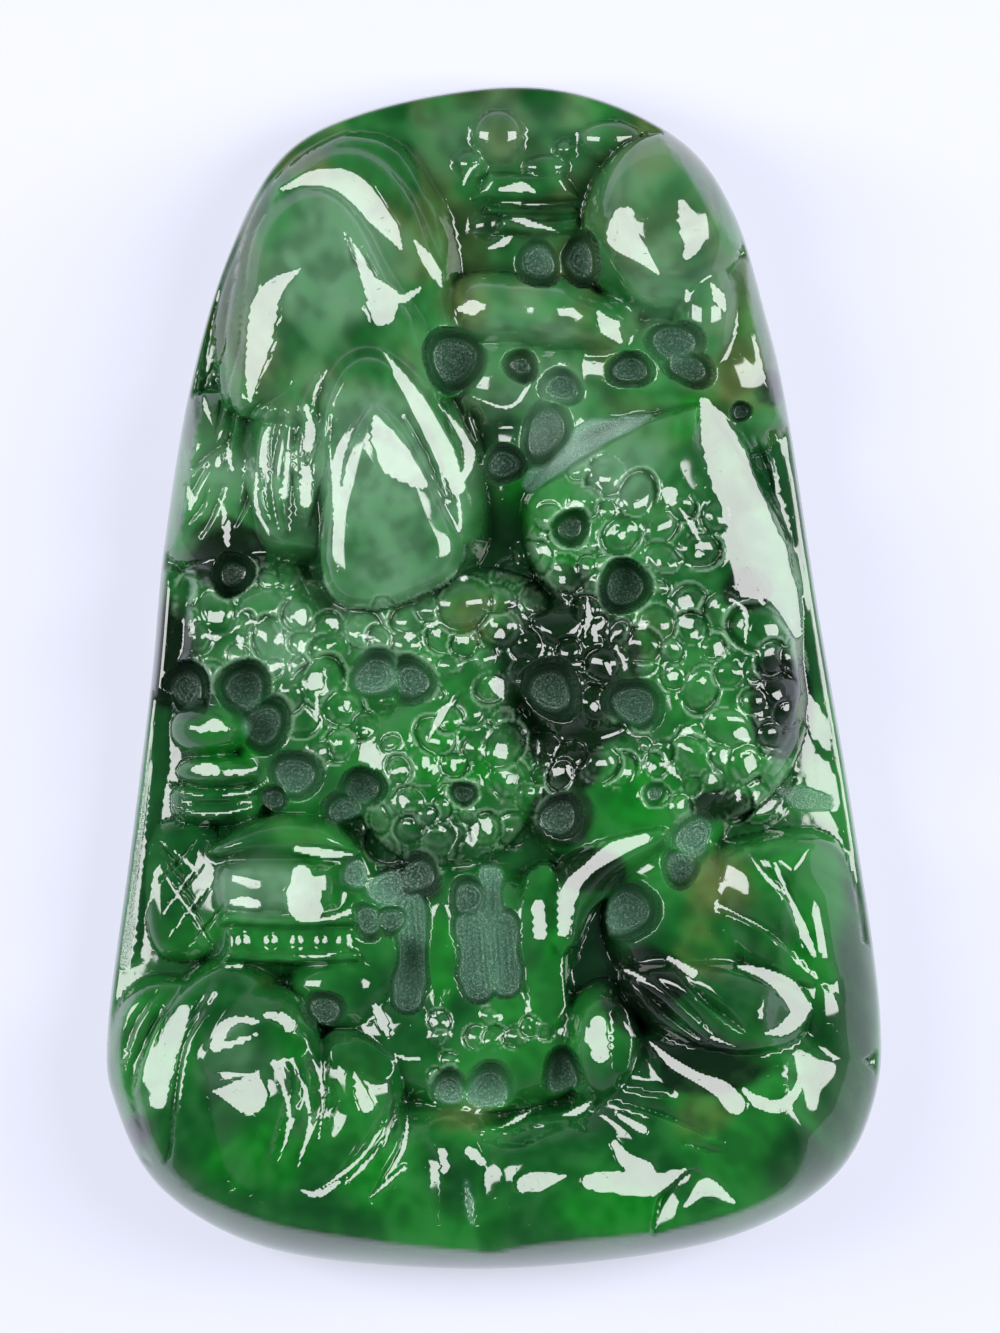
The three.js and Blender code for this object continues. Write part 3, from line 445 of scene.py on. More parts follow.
# Tree heads, one drilled bubble each: x, y, radius.
groves = dict(
    slope=[(5.55, 9.98, 1.1), (7.15, 9.1, 1.1), (4.5, 8.6, 0.9), (6.3, 7.0, 1.0), (8.3, 7.4, 0.9),
           (8.4, 5.9, 0.85), (10.3, 6.3, 1.0), (3.55, 7.1, 1.0), (11.0, 7.9, 0.8), (3.4, 5.0, 1.1),
           (1.05, 5.1, 1.0), (2.3, 5.9, 0.75), (4.6, 5.5, 0.55), (1.7, 6.2, 0.7), (4.2, 10.3, 0.6),
           (9.4, 8.4, 0.7), (5.6, 8.3, 0.5), (2.7, 8.0, 0.7)],
    right=[(9.8, 3.6, 1.0), (11.3, 3.3, 1.0), (9.8, 2.4, 0.9), (8.1, 2.6, 0.95), (7.3, 1.6, 1.0),
           (12.1, 1.9, 0.8), (13.1, 2.4, 1.4), (10.9, 1.5, 0.65), (8.9, 0.0, 0.7), (10.3, -0.6, 1.1),
           (11.6, 0.1, 0.7), (11.8, -2.6, 1.25), (9.8, -2.9, 0.6), (9.8, -3.9, 1.1), (8.3, -3.9, 0.75),
           (11.3, -3.9, 0.6), (12.6, -4.4, 1.1), (10.9, -5.2, 0.6), (13.3, -6.1, 1.25), (12.1, -6.4, 0.9),
           (14.1, -4.9, 1.0), (14.3, -0.6, 0.9), (14.6, -1.9, 0.75), (13.8, 0.9, 0.9), (14.9, 0.9, 0.7),
           (12.9, -1.2, 0.7), (13.7, -2.9, 0.7), (8.9, 1.3, 0.6)],
    dark=[(3.3, 2.9, 1.4), (4.6, 3.4, 0.75), (4.8, 1.4, 0.7), (5.3, 0.6, 0.9), (5.05, -1.4, 1.0),
          (1.6, 1.6, 0.9), (0.3, 2.4, 1.1), (2.1, 3.9, 0.9), (0.1, 3.9, 0.9), (3.7, 1.3, 0.7),
          (4.1, -0.2, 0.6), (6.2, 2.2, 0.6), (1.4, 0.4, 0.6)],
    left=[(-13.95, 3.3, 1.2), (-14.7, 1.9, 0.75), (-15.5, 2.9, 0.7), (-15.2, 4.4, 0.7), (-11.6, 3.6, 1.1),
          (-11.2, 1.9, 1.0), (-9.7, 3.1, 0.9), (-9.45, 1.6, 0.7), (-8.2, 2.6, 0.7), (-8.2, 1.4, 0.9),
          (-10.95, 0.4, 0.5), (-9.2, -0.4, 1.0), (-8.45, -0.2, 1.2), (-7.45, -1.6, 1.0), (-10.2, 5.1, 0.8),
          (-12.7, 1.1, 0.6), (-14.0, 0.1, 0.7), (-6.45, -2.4, 0.7), (-9.7, -2.1, 1.0), (-10.2, -1.1, 0.8),
          (-7.7, -3.4, 0.9), (-8.7, -3.9, 0.7), (-12.4, 2.6, 0.6), (-11.2, 4.9, 0.6)],
    mid=[(-6.45, 2.4, 1.0), (-5.7, 1.9, 0.7), (-4.2, 2.9, 0.9), (-4.45, 1.6, 0.7), (-3.2, 3.4, 0.75),
         (-2.7, 1.9, 0.75), (-1.45, 1.6, 0.75), (-1.45, 3.6, 1.4), (-3.6, 0.6, 0.6), (-2.2, 0.6, 0.6),
         (-0.4, 1.0, 0.6)],
    low=[(-3.45, -4.4, 1.1), (-4.2, -6.1, 0.75), (-4.7, -4.6, 0.7), (-5.45, -8.4, 1.0), (-4.2, -7.6, 0.75),
         (-5.7, -7.1, 0.7), (-2.7, -8.4, 1.05), (-2.95, -2.9, 1.0), (-1.2, -1.6, 0.9), (-0.2, -0.6, 0.8),
         (-1.95, -4.4, 0.7), (-0.95, -3.6, 0.7), (0.8, -5.1, 1.1), (0.55, -3.4, 1.1), (2.55, -3.4, 0.8),
         (0.9, -7.6, 1.0), (-0.45, -7.6, 0.9), (1.8, -6.1, 0.8), (-2.2, -2.1, 0.7), (2.3, -4.9, 0.5),
         (-1.3, -6.9, 0.5), (-3.3, -6.9, 0.55)],
    lawn=[(6.3, -4.6, 0.9), (8.05, -4.4, 0.6), (8.05, -5.9, 0.65), (5.3, -4.4, 1.0), (3.8, -3.9, 0.8),
          (3.3, -4.9, 0.75)],
    meadow=[(-2.7, -17.1, 0.6), (-2.7, -17.9, 0.5), (-0.95, -17.9, 0.6), (0.05, -17.9, 0.6),
            (1.05, -17.9, 0.6), (1.8, -17.4, 0.55), (2.55, -17.6, 0.5), (-2.2, -19.0, 0.45),
            (-2.95, -19.8, 0.4), (-0.2, -16.9, 0.5)],
)
# smaller heads crowd in between over each grove: x, y, half, tall, turn, pitch
thickets = [(6.3, 6.8, 4.6, 2.6, -22, 1.15), (10.8, -1.6, 4.2, 5.6, 0, 1.2), (3.8, 1.6, 3.0, 3.2, 0, 1.1),
            (-2.4, 2.2, 6.2, 2.0, 8, 1.15), (-11.2, 2.2, 4.6, 3.0, 0, 1.2), (-8.4, -1.6, 2.2, 2.6, 0, 1.2),
            (-1.8, -4.6, 3.8, 4.4, 0, 1.15), (5.2, -4.4, 3.6, 0.9, 0, 1.1)]
bubbles = [bubble for grove in groves.values() for bubble in grove]
fillers = []
for k, (x, y, half, tall, turn, pitch) in enumerate(thickets):
    c, s = math.cos(math.radians(turn)), math.sin(math.radians(turn))
    for n in range(int(4 * half * tall / pitch ** 2)):
        u, v = half * (2 * scatter(n, k + 30) - 1), tall * (2 * scatter(n, k + 50) - 1)
        radius = treeHead["smallest"] + treeHead["spread"] * scatter(n, k + 70)
        spot = (x + u * c - v * s, y + u * s + v * c, radius)
        taken = any(math.hypot(spot[0] - b[0], spot[1] - b[1]) < treeHead["crowding"] * (radius + b[2])
                    for b in bubbles + fillers)
        if math.hypot(u / half, v / tall) < 1 and not taken:
            fillers.append(spot)
mound = height.copy()
for k, bubble in enumerate(fillers + bubbles):
    addBubble(mound, k, *bubble)
height += treeHead["waveHeight"] * handWaves(treeHead["wavePitch"], 17) * blurred(heads, 3)
print("tree heads drilled:", len(bubbles), "and", len(fillers), "small ones")

# Leaves of rock laid on what is carved: curve, half width, rise.
petals = [
    ([(-10.85, 13.5), (-11.6, 11.6), (-11.85, 9.4), (-11.3, 7.6)], 0.55, 0.5),
    ([(-10.1, 13.3), (-10.35, 11.4), (-10.55, 9.4), (-10.4, 7.1)], 0.5, 0.5),
    ([(-8.6, 15.1), (-9.2, 13.6), (-9.05, 11.9), (-9.4, 9.9)], 0.5, 0.5),
    ([(-8.2, 13.4), (-8.6, 11.4), (-9.1, 9.1), (-9.3, 7.5)], 0.45, 0.5),
    ([(-9.45, 12.6), (-9.7, 11.1), (-9.6, 9.4), (-9.55, 7.9)], 0.4, 0.4),
    ([(-1.0, -22.7), (0.4, -22.4), (1.8, -21.7), (2.7, -21.9), (4.2, -21.7), (5.2, -20.9)], 0.6, 0.35),
]
# Steps in the rock, down on the left hand of the curve: curve, reach, drop.
folds = [
    ([(-14.55, 14.1), (-14.1, 17.4), (-13.4, 20.1), (-12.4, 22.3)], 0.5, 0.45),
    ([(-13.3, 13.9), (-13.4, 16.9), (-13.1, 18.9), (-12.7, 20.8)], 0.4, 0.35),
    ([(-15.7, 9.4), (-14.7, 10.6), (-12.95, 11.9)], 0.8, 0.45),
    ([(-15.9, 8.0), (-15.0, 9.2), (-14.2, 10.7)], 0.7, 0.45),
    ([(-13.5, 10.1), (-13.15, 11.8), (-12.8, 13.9)], 0.6, 0.5),
    ([(-14.6, 6.9), (-13.9, 8.3), (-13.4, 9.6)], 0.6, 0.45),
    ([(-12.5, 11.1), (-11.95, 13.2), (-9.9, 14.6)], 0.6, 0.45),
    ([(-1.45, 13.9), (-0.7, 11.9), (-0.35, 10.4)], 0.7, 0.4),
    ([(12.55, -8.6), (14.55, -10.9), (15.5, -13.8)], 1.0, 0.5),
    ([(13.9, -9.1), (15.05, -11.6), (16.05, -14.1)], 0.8, 0.4),
    ([(11.05, -11.4), (13.3, -12.4), (15.6, -14.4), (17.8, -16.6)], 1.0, 0.5),
    ([(6.55, -14.6), (8.3, -16.4), (10.8, -18.4)], 0.7, 0.5),
    ([(7.3, -14.4), (9.3, -16.1), (11.3, -18.1)], 0.6, 0.4),
    ([(8.8, -14.1), (10.3, -15.9), (12.55, -17.7)], 0.8, 0.5),
    ([(10.05, -15.9), (11.2, -16.6), (12.4, -17.6)], 0.5, 0.35),
    ([(-18.5, -19.6), (-17.9, -17.4), (-16.7, -15.6)], 0.6, 0.4),
    ([(-18.05, -20.9), (-17.45, -18.4), (-16.45, -16.4)], 0.7, 0.3),
    ([(-16.9, -21.4), (-16.4, -18.9), (-14.7, -16.4), (-13.9, -15.0)], 0.9, 0.4),
    ([(-16.2, -25.2), (-15.9, -21.4), (-15.3, -18.1), (-13.8, -15.8)], 0.7, 0.4),
    ([(-10.45, -18.6), (-10.1, -20.4), (-10.7, -22.6), (-11.0, -24.0)], 0.6, 0.25),
    ([(-9.85, -18.9), (-9.6, -20.4), (-10.1, -22.4)], 0.5, 0.25),
    ([(-9.2, -19.1), (-8.9, -20.4), (-9.1, -22.0)], 0.5, 0.25),
    ([(-8.1, -20.1), (-8.0, -21.2), (-8.4, -22.4)], 0.4, 0.2),
    ([(-4.95, -21.1), (-5.1, -22.4), (-5.55, -23.5)], 0.6, 0.3),
    ([(-4.3, -20.9), (-4.7, -23.4), (-6.2, -26.0)], 0.7, 0.4),
    ([(-5.4, -22.8), (-6.2, -23.9), (-7.3, -25.0)], 0.7, 0.3),
    ([(-5.2, -21.2), (-6.6, -23.4), (-8.7, -25.6)], 0.6, 0.25),
    ([(-4.4, -24.2), (-5.3, -25.1), (-6.2, -25.9)], 0.6, 0.25),
    ([(-1.2, -22.6), (0.8, -23.3), (2.55, -22.7), (5.3, -21.3)], 0.7, 0.25),
    ([(10.3, -24.4), (8.55, -25.4), (7.7, -28.6)], 1.0, 0.6),
    ([(-2.45, -22.6), (-1.3, -24.4), (-1.95, -27.6)], 1.0, 0.5),
    ([(-1.9, -22.6), (-0.6, -24.2), (-0.9, -27.4)], 0.9, 0.4),
    ([(6.0, -20.2), (7.6, -20.6), (9.0, -20.8)], 0.6, 0.3),
    ([(5.4, -20.9), (8.4, -21.8), (11.6, -23.2)], 0.8, 0.4),
    ([(9.3, -23.1), (10.4, -23.5), (11.6, -23.7)], 0.5, 0.3),
]
# V-cut lines: curve, half width, depth.
grooves = [
    ([(-4.45, 13.1), (-3.4, 11.2), (-2.4, 8.7)], 0.2, 0.3),
    ([(-4.0, 13.3), (-2.9, 11.4), (-2.1, 8.5)], 0.16, 0.25),
    ([(-3.35, 15.2), (-2.2, 12.9), (-1.7, 10.6)], 0.2, 0.35),
    ([(-6.6, 21.4), (-6.0, 20.2), (-5.1, 18.8)], 0.16, 0.25),
    ([(-7.4, 22.2), (-6.9, 20.6), (-5.6, 19.1)], 0.3, 0.3),
    ([(-14.8, 13.4), (-14.4, 14.6), (-13.85, 15.8)], 0.2, 0.3),
    ([(-15.6, 11.6), (-14.9, 12.6), (-14.6, 13.9)], 0.25, 0.35),
    ([(-15.2, 7.6), (-14.5, 8.6), (-14.2, 9.6)], 0.25, 0.3),
    ([(-13.9, 11.9), (-13.6, 13.2), (-13.5, 14.4)], 0.2, 0.3),
    ([(-12.9, 7.4), (-12.3, 8.8), (-12.2, 10.6)], 0.25, 0.35),
    ([(13.0, 12.0), (13.6, 10.4), (14.0, 8.6)], 0.25, 0.35),
    ([(13.6, 11.8), (14.2, 10.2), (14.7, 8.2)], 0.2, 0.3),
    ([(-16.45, -16.4), (-17.2, -18.0), (-17.9, -20.4)], 0.15, 0.2),
    ([(-15.9, -16.2), (-16.6, -17.8), (-17.0, -19.6)], 0.12, 0.18),
    ([(-16.6, -25.4), (-16.4, -24.4), (-15.9, -22.8)], 0.2, 0.25),
]
for petal in petals:
    addPetal(*petal)
for fold in folds:
    cutFold(*fold)
for groove in grooves:
    cutGroove(*groove)
# A flat that mirrors one softbox up to the camera falls this much toward +X and +Y.
leftFall, rightFall, levelFall = (-0.42, 0.07), (0.41, 0.07), (0.05, 0.05)
# Strips rubbed flat, which catch one softbox each: curve, half widths along it, roughness.
toLeft = [
    ([(-9.6, 20.3), (-10.8, 19.4), (-11.4, 18.2), (-11.7, 16.7), (-12.0, 15.1), (-12.1, 13.7)],
     (0.05, 0.4, 0.7, 0.6, 0.35, 0.1), 0.05),
    ([(-8.3, 15.2), (-8.8, 14.3), (-9.0, 13.5)], (0.08, 0.14, 0.08), 0),
    ([(-14.5, 14.2), (-14.3, 13.3), (-14.0, 12.5)], (0.05, 0.16, 0.05), 0.05),
    ([(-13.2, 11.7), (-13.2, 11.0), (-13.0, 10.3)], (0.06, 0.14, 0.06), 0),
    ([(-15.3, 9.6), (-15.1, 9.0), (-15.1, 8.3)], (0.05, 0.18, 0.05), 0.1),
    ([(-13.7, 8.9), (-13.4, 8.2), (-13.5, 7.4)], (0.05, 0.13, 0.05), 0),
    ([(-7.0, 12.3), (-7.5, 11.4), (-7.8, 10.0), (-7.9, 7.8)], (0.08, 0.26, 0.24, 0.08), 0),
    ([(-11.2, 12.4), (-11.4, 11.1), (-11.3, 9.8)], (0.1, 0.2, 0.15), 0),
    ([(-11.8, 10.1), (-11.8, 8.5), (-11.2, 7.1)], (0.08, 0.15, 0.1), 0),
    ([(-10.2, 11.1), (-10.4, 9.0)], (0.15, 0.17), 0),
    ([(-9.3, 13.5), (-9.1, 12.2), (-9.2, 11.4)], (0.1, 0.3, 0.25), 0),
    ([(-9.3, 10.3), (-9.3, 8.7)], (0.22, 0.28), 0),
    ([(6.5, 22.9), (6.4, 21.9), (7.3, 21.0), (8.2, 20.0)], (0.5, 0.7, 0.4, 0.05), 0),
    ([(9.6, 19.2), (9.6, 18.8)], (0.1, 0.15), 0),
    ([(-1.7, 18.3), (-1.1, 18.3)], (0.1, 0.3), 0),
    ([(-15.4, -16.6), (-16.5, -19.4), (-16.7, -21.1)], (0.3, 0.75, 0.4), 0.3),
    ([(-13.9, -20.6), (-12.9, -20.7), (-12.2, -20.8)], (0.1, 0.6, 0.95), 0),
    ([(-13.8, -18.3), (-13.4, -17.4), (-12.6, -17.0), (-11.7, -17.1)], (0.3, 0.3, 0.2, 0.1), 0),
    ([(-13.7, -18.3), (-12.6, -18.1), (-11.7, -17.7)], (0.15, 0.15, 0.05), 0),
    ([(-11.3, -16.8), (-10.6, -16.9), (-10.1, -17.3)], (0.15, 0.3, 0.35), 0),
    ([(-6.9, -19.7), (-6.6, -20.6), (-6.3, -21.3)], (0.08, 0.3, 0.35), 0),
    # strokes that fan out below the small rock
    ([(-4.8, -21.2), (-5.2, -22.4), (-5.5, -23.4)], (0.03, 0.12, 0.04), 0),
    ([(-4.2, -20.8), (-4.5, -23.4), (-5.5, -25.2)], (0.03, 0.12, 0.04), 0),
    ([(-5.7, -23.4), (-6.5, -24.3), (-7.4, -25.2)], (0.04, 0.14, 0.04), 0),
    ([(-5.3, -22.0), (-6.7, -24.0), (-9.2, -25.8)], (0.03, 0.1, 0.03), 0),
    ([(-4.4, -24.3), (-5.3, -25.1), (-6.3, -26.0)], (0.03, 0.15, 0.04), 0),
    ([(-9.6, -25.5), (-8.7, -25.7), (-7.7, -25.1)], (0.03, 0.2, 0.06), 0.1),
    ([(5.2, -17.2), (5.3, -18.7)], (0.38, 0.42), 0),
    ([(-2.6, -23.6), (-2.4, -24.5)], (0.22, 0.22), 0),
    ([(-1.2, -23.6), (-0.6, -24.1)], (0.25, 0.2), 0),
    ([(-0.9, -22.7), (0.4, -22.4), (1.2, -22.0), (1.9, -21.6)], (0.03, 0.07, 0.2, 0.05), 0),
    ([(3.4, -21.8), (4.2, -21.6), (5.0, -21.0)], (0.05, 0.2, 0.04), 0),
    ([(6.5, -17.2), (6.9, -17.8)], (0.06, 0.12), 0),
    ([(1.6, -25.2), (2.3, -25.1), (3.6, -24.8)], (0.45, 0.45, 0.06), 0),
    ([(2.2, -11.4), (2.3, -12.8)], (0.25, 0.3), 0),
    ([(-17.1, -2.4), (-17.5, -6.0), (-18.0, -9.6), (-18.3, -12.2), (-18.5, -14.4)],
     (0.06, 0.3, 0.38, 0.45, 0.3), 0.35),
    ([(6.6, -14.6), (7.5, -15.0)], (0.15, 0.1), 0.1),
    ([(10.8, -17.9), (12.1, -18.4)], (0.12, 0.06), 0),
]
toRight = [
    ([(-10.5, 24.3), (-9.2, 24.8), (-7.9, 24.8), (-6.9, 24.3), (-5.9, 23.2), (-5.1, 22.2), (-4.6, 21.3)],
     (0.15, 0.35, 0.5, 0.6, 0.55, 0.4, 0.1), 0),
    ([(-7.0, 21.6), (-6.6, 20.6), (-6.2, 19.7), (-5.6, 18.8), (-5.5, 18.0)],
     (0.05, 0.25, 0.35, 0.85, 0.6), 0.1),
    ([(-5.5, 19.2), (-4.6, 18.8), (-3.7, 19.3)], (0.2, 0.25, 0.1), 0.1),
    ([(-4.0, 21.8), (-3.4, 20.9), (-2.9, 20.1), (-2.6, 19.4)], (0.05, 0.3, 0.27, 0.05), 0),
    ([(-5.5, 16.2), (-4.6, 14.9), (-3.5, 13.2), (-2.6, 11.4), (-1.8, 9.5)], (0.05, 0.33, 0.5, 0.6, 0.4), 0),
    ([(-2.9, 13.7), (-1.8, 12.4), (-1.2, 11.1), (-1.5, 9.8)], (0.05, 0.2, 0.33, 0.15), 0),
    ([(-5.9, 12.9), (-5.5, 11.8), (-4.7, 10.7), (-3.5, 9.6)], (0.15, 0.7, 0.85, 0.25), 0),
    ([(9.3, 23.6), (9.7, 22.5), (9.9, 21.5), (9.6, 20.9)], (0.2, 0.5, 0.45, 0.2), 0),
    ([(10.8, 19.6), (11.2, 18.9), (11.5, 18.3)], (0.08, 0.3, 0.1), 0),
    ([(5.2, 18.1), (5.7, 17.4), (6.3, 16.7)], (0.15, 0.5, 0.15), 0),
    ([(10.5, 13.6), (11.2, 11.9), (12.0, 9.4), (13.0, 7.1)], (0.25, 0.9, 1.1, 1.1), 0.03),
    ([(12.9, 7.4), (13.6, 5.9), (14.4, 4.2), (15.1, 2.2)], (0.9, 1.1, 0.8, 0.25), 0.3),
    ([(15.7, -1.0), (16.3, -2.6), (16.6, -3.4)], (0.1, 0.45, 0.2), 0.25),
    ([(16.2, -4.0), (16.6, -5.2), (16.9, -6.4)], (0.1, 0.4, 0.25), 0.3),
    ([(7.5, -8.0), (6.0, -8.6), (4.7, -9.5), (3.8, -10.6), (3.5, -12.6)], (0.25, 0.4, 0.3, 0.42, 0.25), 0),
    ([(12.8, -9.0), (13.6, -10.0), (14.6, -10.9)], (0.06, 0.12, 0.05), 0),
    ([(14.0, -9.2), (14.7, -11.0), (15.3, -12.4), (15.9, -13.8)], (0.05, 0.1, 0.25, 0.12), 0),
    ([(11.1, -11.3), (12.1, -11.8), (13.6, -12.6)], (0.1, 0.08, 0.05), 0),
    ([(12.2, -14.4), (13.5, -14.8), (14.7, -15.6), (15.2, -16.7), (14.4, -17.5), (13.5, -17.7)],
     (0.12, 0.3, 0.5, 0.45, 0.3, 0.08), 0),
    ([(8.7, -14.0), (9.9, -14.7)], (0.15, 0.25), 0),
    ([(7.8, -18.2), (8.9, -19.2), (10.1, -19.9), (11.3, -20.5), (12.0, -21.2)],
     (0.08, 0.23, 0.26, 0.38, 0.5), 0),
    ([(12.4, -20.5), (13.1, -21.1), (14.2, -21.3), (15.0, -20.6), (15.2, -19.9)],
     (0.1, 0.3, 0.26, 0.18, 0.06), 0),
    ([(4.7, -25.1), (6.2, -25.1), (7.8, -25.2), (9.5, -24.5)], (0.3, 0.55, 0.7, 0.12), 0.1),
    ([(6.0, -23.2), (6.6, -24.0), (7.5, -24.5)], (0.2, 0.4, 0.5), 0),
    ([(9.5, -26.3), (10.6, -25.4), (11.9, -26.1)], (0.1, 0.55, 0.15), 0.25),
    ([(6.2, -21.8), (7.4, -22.5)], (0.15, 0.25), 0),
    ([(-5.9, -16.4), (-5.5, -17.2), (-5.3, -17.8)], (0.15, 0.3, 0.12), 0),
    ([(-4.9, -18.8), (-4.3, -19.0), (-3.7, -19.0)], (0.06, 0.12, 0.06), 0),
    # arcs round the right of the boulder
    ([(-11.0, -19.0), (-10.3, -20.8), (-10.2, -22.5), (-10.9, -24.6)], (0.03, 0.1, 0.1, 0.03), 0),
    ([(-10.0, -19.0), (-9.3, -20.8), (-9.2, -22.5), (-9.8, -24.6)], (0.03, 0.1, 0.1, 0.03), 0),
    ([(-9.2, -18.4), (-8.5, -20.5), (-8.7, -23.1)], (0.03, 0.1, 0.03), 0),
]
# and strips that lie level, so they stay dark between the bright ones
level = [
    ([(-13.6, -18.9), (-12.4, -18.6), (-11.2, -18.2), (-9.8, -18.3)], (0.8, 1.1, 0.9, 0.6)),
    ([(13.9, 12.0), (14.7, 9.4), (15.3, 7.0), (15.8, 5.0)], (0.3, 0.45, 0.45, 0.4)),
    ([(-16.0, 4.4), (-16.5, 2.0), (-16.9, 0.0), (-17.3, -4.0), (-17.9, -9.0), (-18.4, -13.6)],
     (0.8, 1.0, 0.9, 1.0, 1.1, 0.7)),
    ([(15.7, 5.4), (16.4, 1.6), (16.9, -2.0), (17.5, -5.4), (18.0, -8.4)], (0.4, 0.9, 1.2, 1.1, 0.5)),
    ([(-7.6, -18.8), (-6.6, -18.9), (-5.6, -19.4)], (0.5, 0.7, 0.6)),
    ([(6.2, -16.8), (6.4, -17.9), (6.3, -19.2)], (0.4, 0.5, 0.4)),
    ([(2.4, -10.2), (2.4, -12.6), (2.6, -16.4)], (0.7, 1.0, 0.8)),
    ([(-2.2, -22.8), (-1.6, -24.4), (-1.8, -26.6)], (0.9, 1.1, 0.9)),
]
for curve, halves in level:
    addFacet(curve, halves, *levelFall)
for curve, halves, rough in toLeft:
    addFacet(curve, halves, *leftFall, rough)
for curve, halves, rough in toRight:
    addFacet(curve, halves, *rightFall, rough)
# the bare crest above the slope's grove, a saw mark on the right ledge, a scrape in the bank, then the
# polished line beside the valley
addFacet([(1.8, 9.6), (3.0, 10.8), (4.8, 12.0), (6.6, 12.6), (7.8, 13.0)], (0.3, 0.6, 0.6, 0.4, 0.1),
         0.1, 0.3, 0.8)
addFacet([(14.2, -5.7), (15.2, -6.0), (16.6, -6.3)], (0.2, 0.6, 0.35), 0.1, 0.1, 0.45)
addFacet([(-1.4, -25.0), (-1.2, -26.2), (-1.1, -27.2)], (0.1, 0.25, 0.1), 0.0, 0.1, 0.4)
addFacet([(-1.2, 14.0), (0.6, 13.4), (1.5, 14.1), (2.0, 15.3), (1.8, 16.2)], (0.06, 0.1, 0.1, 0.08, 0.05),
         *rightFall)
print("leaves, steps and strips cut")

# Glints: small flats that the polish left on the tree heads: x, y, half width, half height, turn.
glints = [
    (8.75, 9.0, 0.4, 0.5, 20), (4.0, 8.5, 0.5, 0.25, 10), (2.4, 6.3, 0.4, 0.18, 0),
    (3.4, 4.8, 0.2, 0.25, 0), (10.2, 6.1, 0.25, 0.2, 0), (6.35, 7.0, 0.2, 0.2, 0),
    (9.55, 3.7, 0.42, 0.4, 5), (9.55, 2.7, 0.45, 0.32, -15), (7.35, 2.5, 0.28, 0.25, 30),
    (0.3, 2.1, 0.3, 0.28, 0), (-1.5, 1.8, 0.35, 0.25, 15), (-1.5, 4.9, 0.3, 0.2, 0),
    (0.0, 5.0, 0.2, 0.4, -20), (0.2, -0.5, 0.4, 0.55, 25), (5.0, -1.5, 0.25, 0.25, 0),
    (8.85, 0.0, 0.3, 0.25, 0), (9.65, -2.7, 0.35, 0.22, 10), (12.35, -2.9, 0.5, 0.35, -35),
    (12.75, -4.3, 0.35, 0.5, 0), (11.45, -4.0, 0.2, 0.4, 0), (10.85, -5.1, 0.28, 0.28, 0),
    (7.85, -4.5, 0.2, 0.22, 0), (0.9, -5.1, 0.32, 0.3, 0), (0.4, -3.7, 0.3, 0.45, 15),
    (-1.0, -7.8, 0.3, 0.6, -10), (-0.3, -7.5, 0.28, 0.35, 0), (0.8, -7.6, 0.28, 0.14, 0),
    (-2.0, -4.4, 0.14, 0.35, 0), (2.2, -3.5, 0.14, 0.5, 0), (3.8, -4.7, 0.18, 0.4, 20),
    (3.1, -4.7, 0.22, 0.22, 0), (12.15, -5.9, 0.18, 0.38, 0), (13.05, -5.95, 0.25, 0.38, 0),
    (11.2, 1.3, 0.3, 0.4, 20), (10.4, -0.2, 0.2, 0.2, 0), (-13.85, 3.0, 0.45, 0.35, 0),
    (-9.55, 3.0, 0.32, 0.45, 10), (-8.0, 2.7, 0.4, 0.28, -30), (-8.8, -0.2, 0.4, 0.5, 0),
    (-9.55, 1.5, 0.22, 0.38, 0), (-10.85, 0.5, 0.45, 0.2, 25), (-13.85, 1.95, 0.35, 0.18, 0),
    (-12.6, 1.7, 0.2, 0.45, 10), (-15.0, 2.4, 0.18, 0.4, 0), (-4.5, -6.2, 0.2, 0.35, 0),
    (-5.45, -8.25, 0.25, 0.2, 0), (-1.15, -8.0, 0.28, 0.5, 0), (-4.75, -4.65, 0.5, 0.14, 15),
    (-13.25, 7.1, 0.2, 0.7, 0), (-6.3, 2.0, 0.45, 0.12, -10), (-4.2, 2.0, 0.3, 0.25, 0),
    (-3.0, 2.6, 0.4, 0.16, 20), (-7.3, -1.4, 0.2, 0.3, 0), (-3.4, -4.2, 0.2, 0.3, 0),
    (-5.9, -4.5, 0.3, 0.16, 0), (5.0, 2.2, 0.16, 0.5, 10), (4.2, 0.6, 0.3, 0.12, 0),
    (5.7, 0.4, 0.14, 0.4, 20), (3.2, 0.6, 0.14, 0.3, -20),
]
for k, (x, y, half, tall, turn) in enumerate(glints):
    w = around(x, y, 1.6 * max(half, tall))
    dx, dy = turned(w, x, y, turn)
    # an uneven three or four sided flat
    angle = np.arctan2(dy / tall, dx / half)
    size = np.hypot(dx / half, dy / tall) * (1 - 0.12 * np.cos((3 + k // 2 % 2) * angle + 6 * scatter(k, 9)))
    crisp = 1 - smooth(0.9, 1.05, size)
    shine[w] = np.maximum(shine[w], crisp)
    slopeX, slopeY = (leftFall, rightFall)[k % 2]
    shineX[w] = np.where(crisp > 0, slopeX, shineX[w])
    shineY[w] = np.where(crisp > 0, slopeY, shineY[w])
# streaks of light between the heads: curve, half width in the middle
streaks = [
    ([(9.2, 8.4), (9.8, 7.6), (10.3, 6.6)], 0.2),
    ([(11.7, 3.9), (12.5, 3.2), (12.5, 1.6)], 0.15),
    ([(4.6, 4.2), (4.7, 3.0), (4.5, 2.0)], 0.2),
    ([(8.4, -3.8), (8.8, -4.6), (9.3, -5.1)], 0.18),
    ([(-9.6, 4.9), (-9.0, 4.3), (-8.3, 3.6)], 0.28),
    ([(-8.8, -0.8), (-8.8, -2.2)], 0.14),
    ([(-2.0, -1.0), (-2.7, -2.1), (-3.3, -3.2)], 0.22),
    ([(-2.4, -6.9), (-1.8, -7.8), (-2.3, -8.8)], 0.07),
    ([(-12.4, 3.2), (-11.7, 2.7), (-11.0, 3.3)], 0.1),
    ([(-14.9, 3.6), (-14.2, 4.3), (-13.2, 4.0)], 0.08),
]
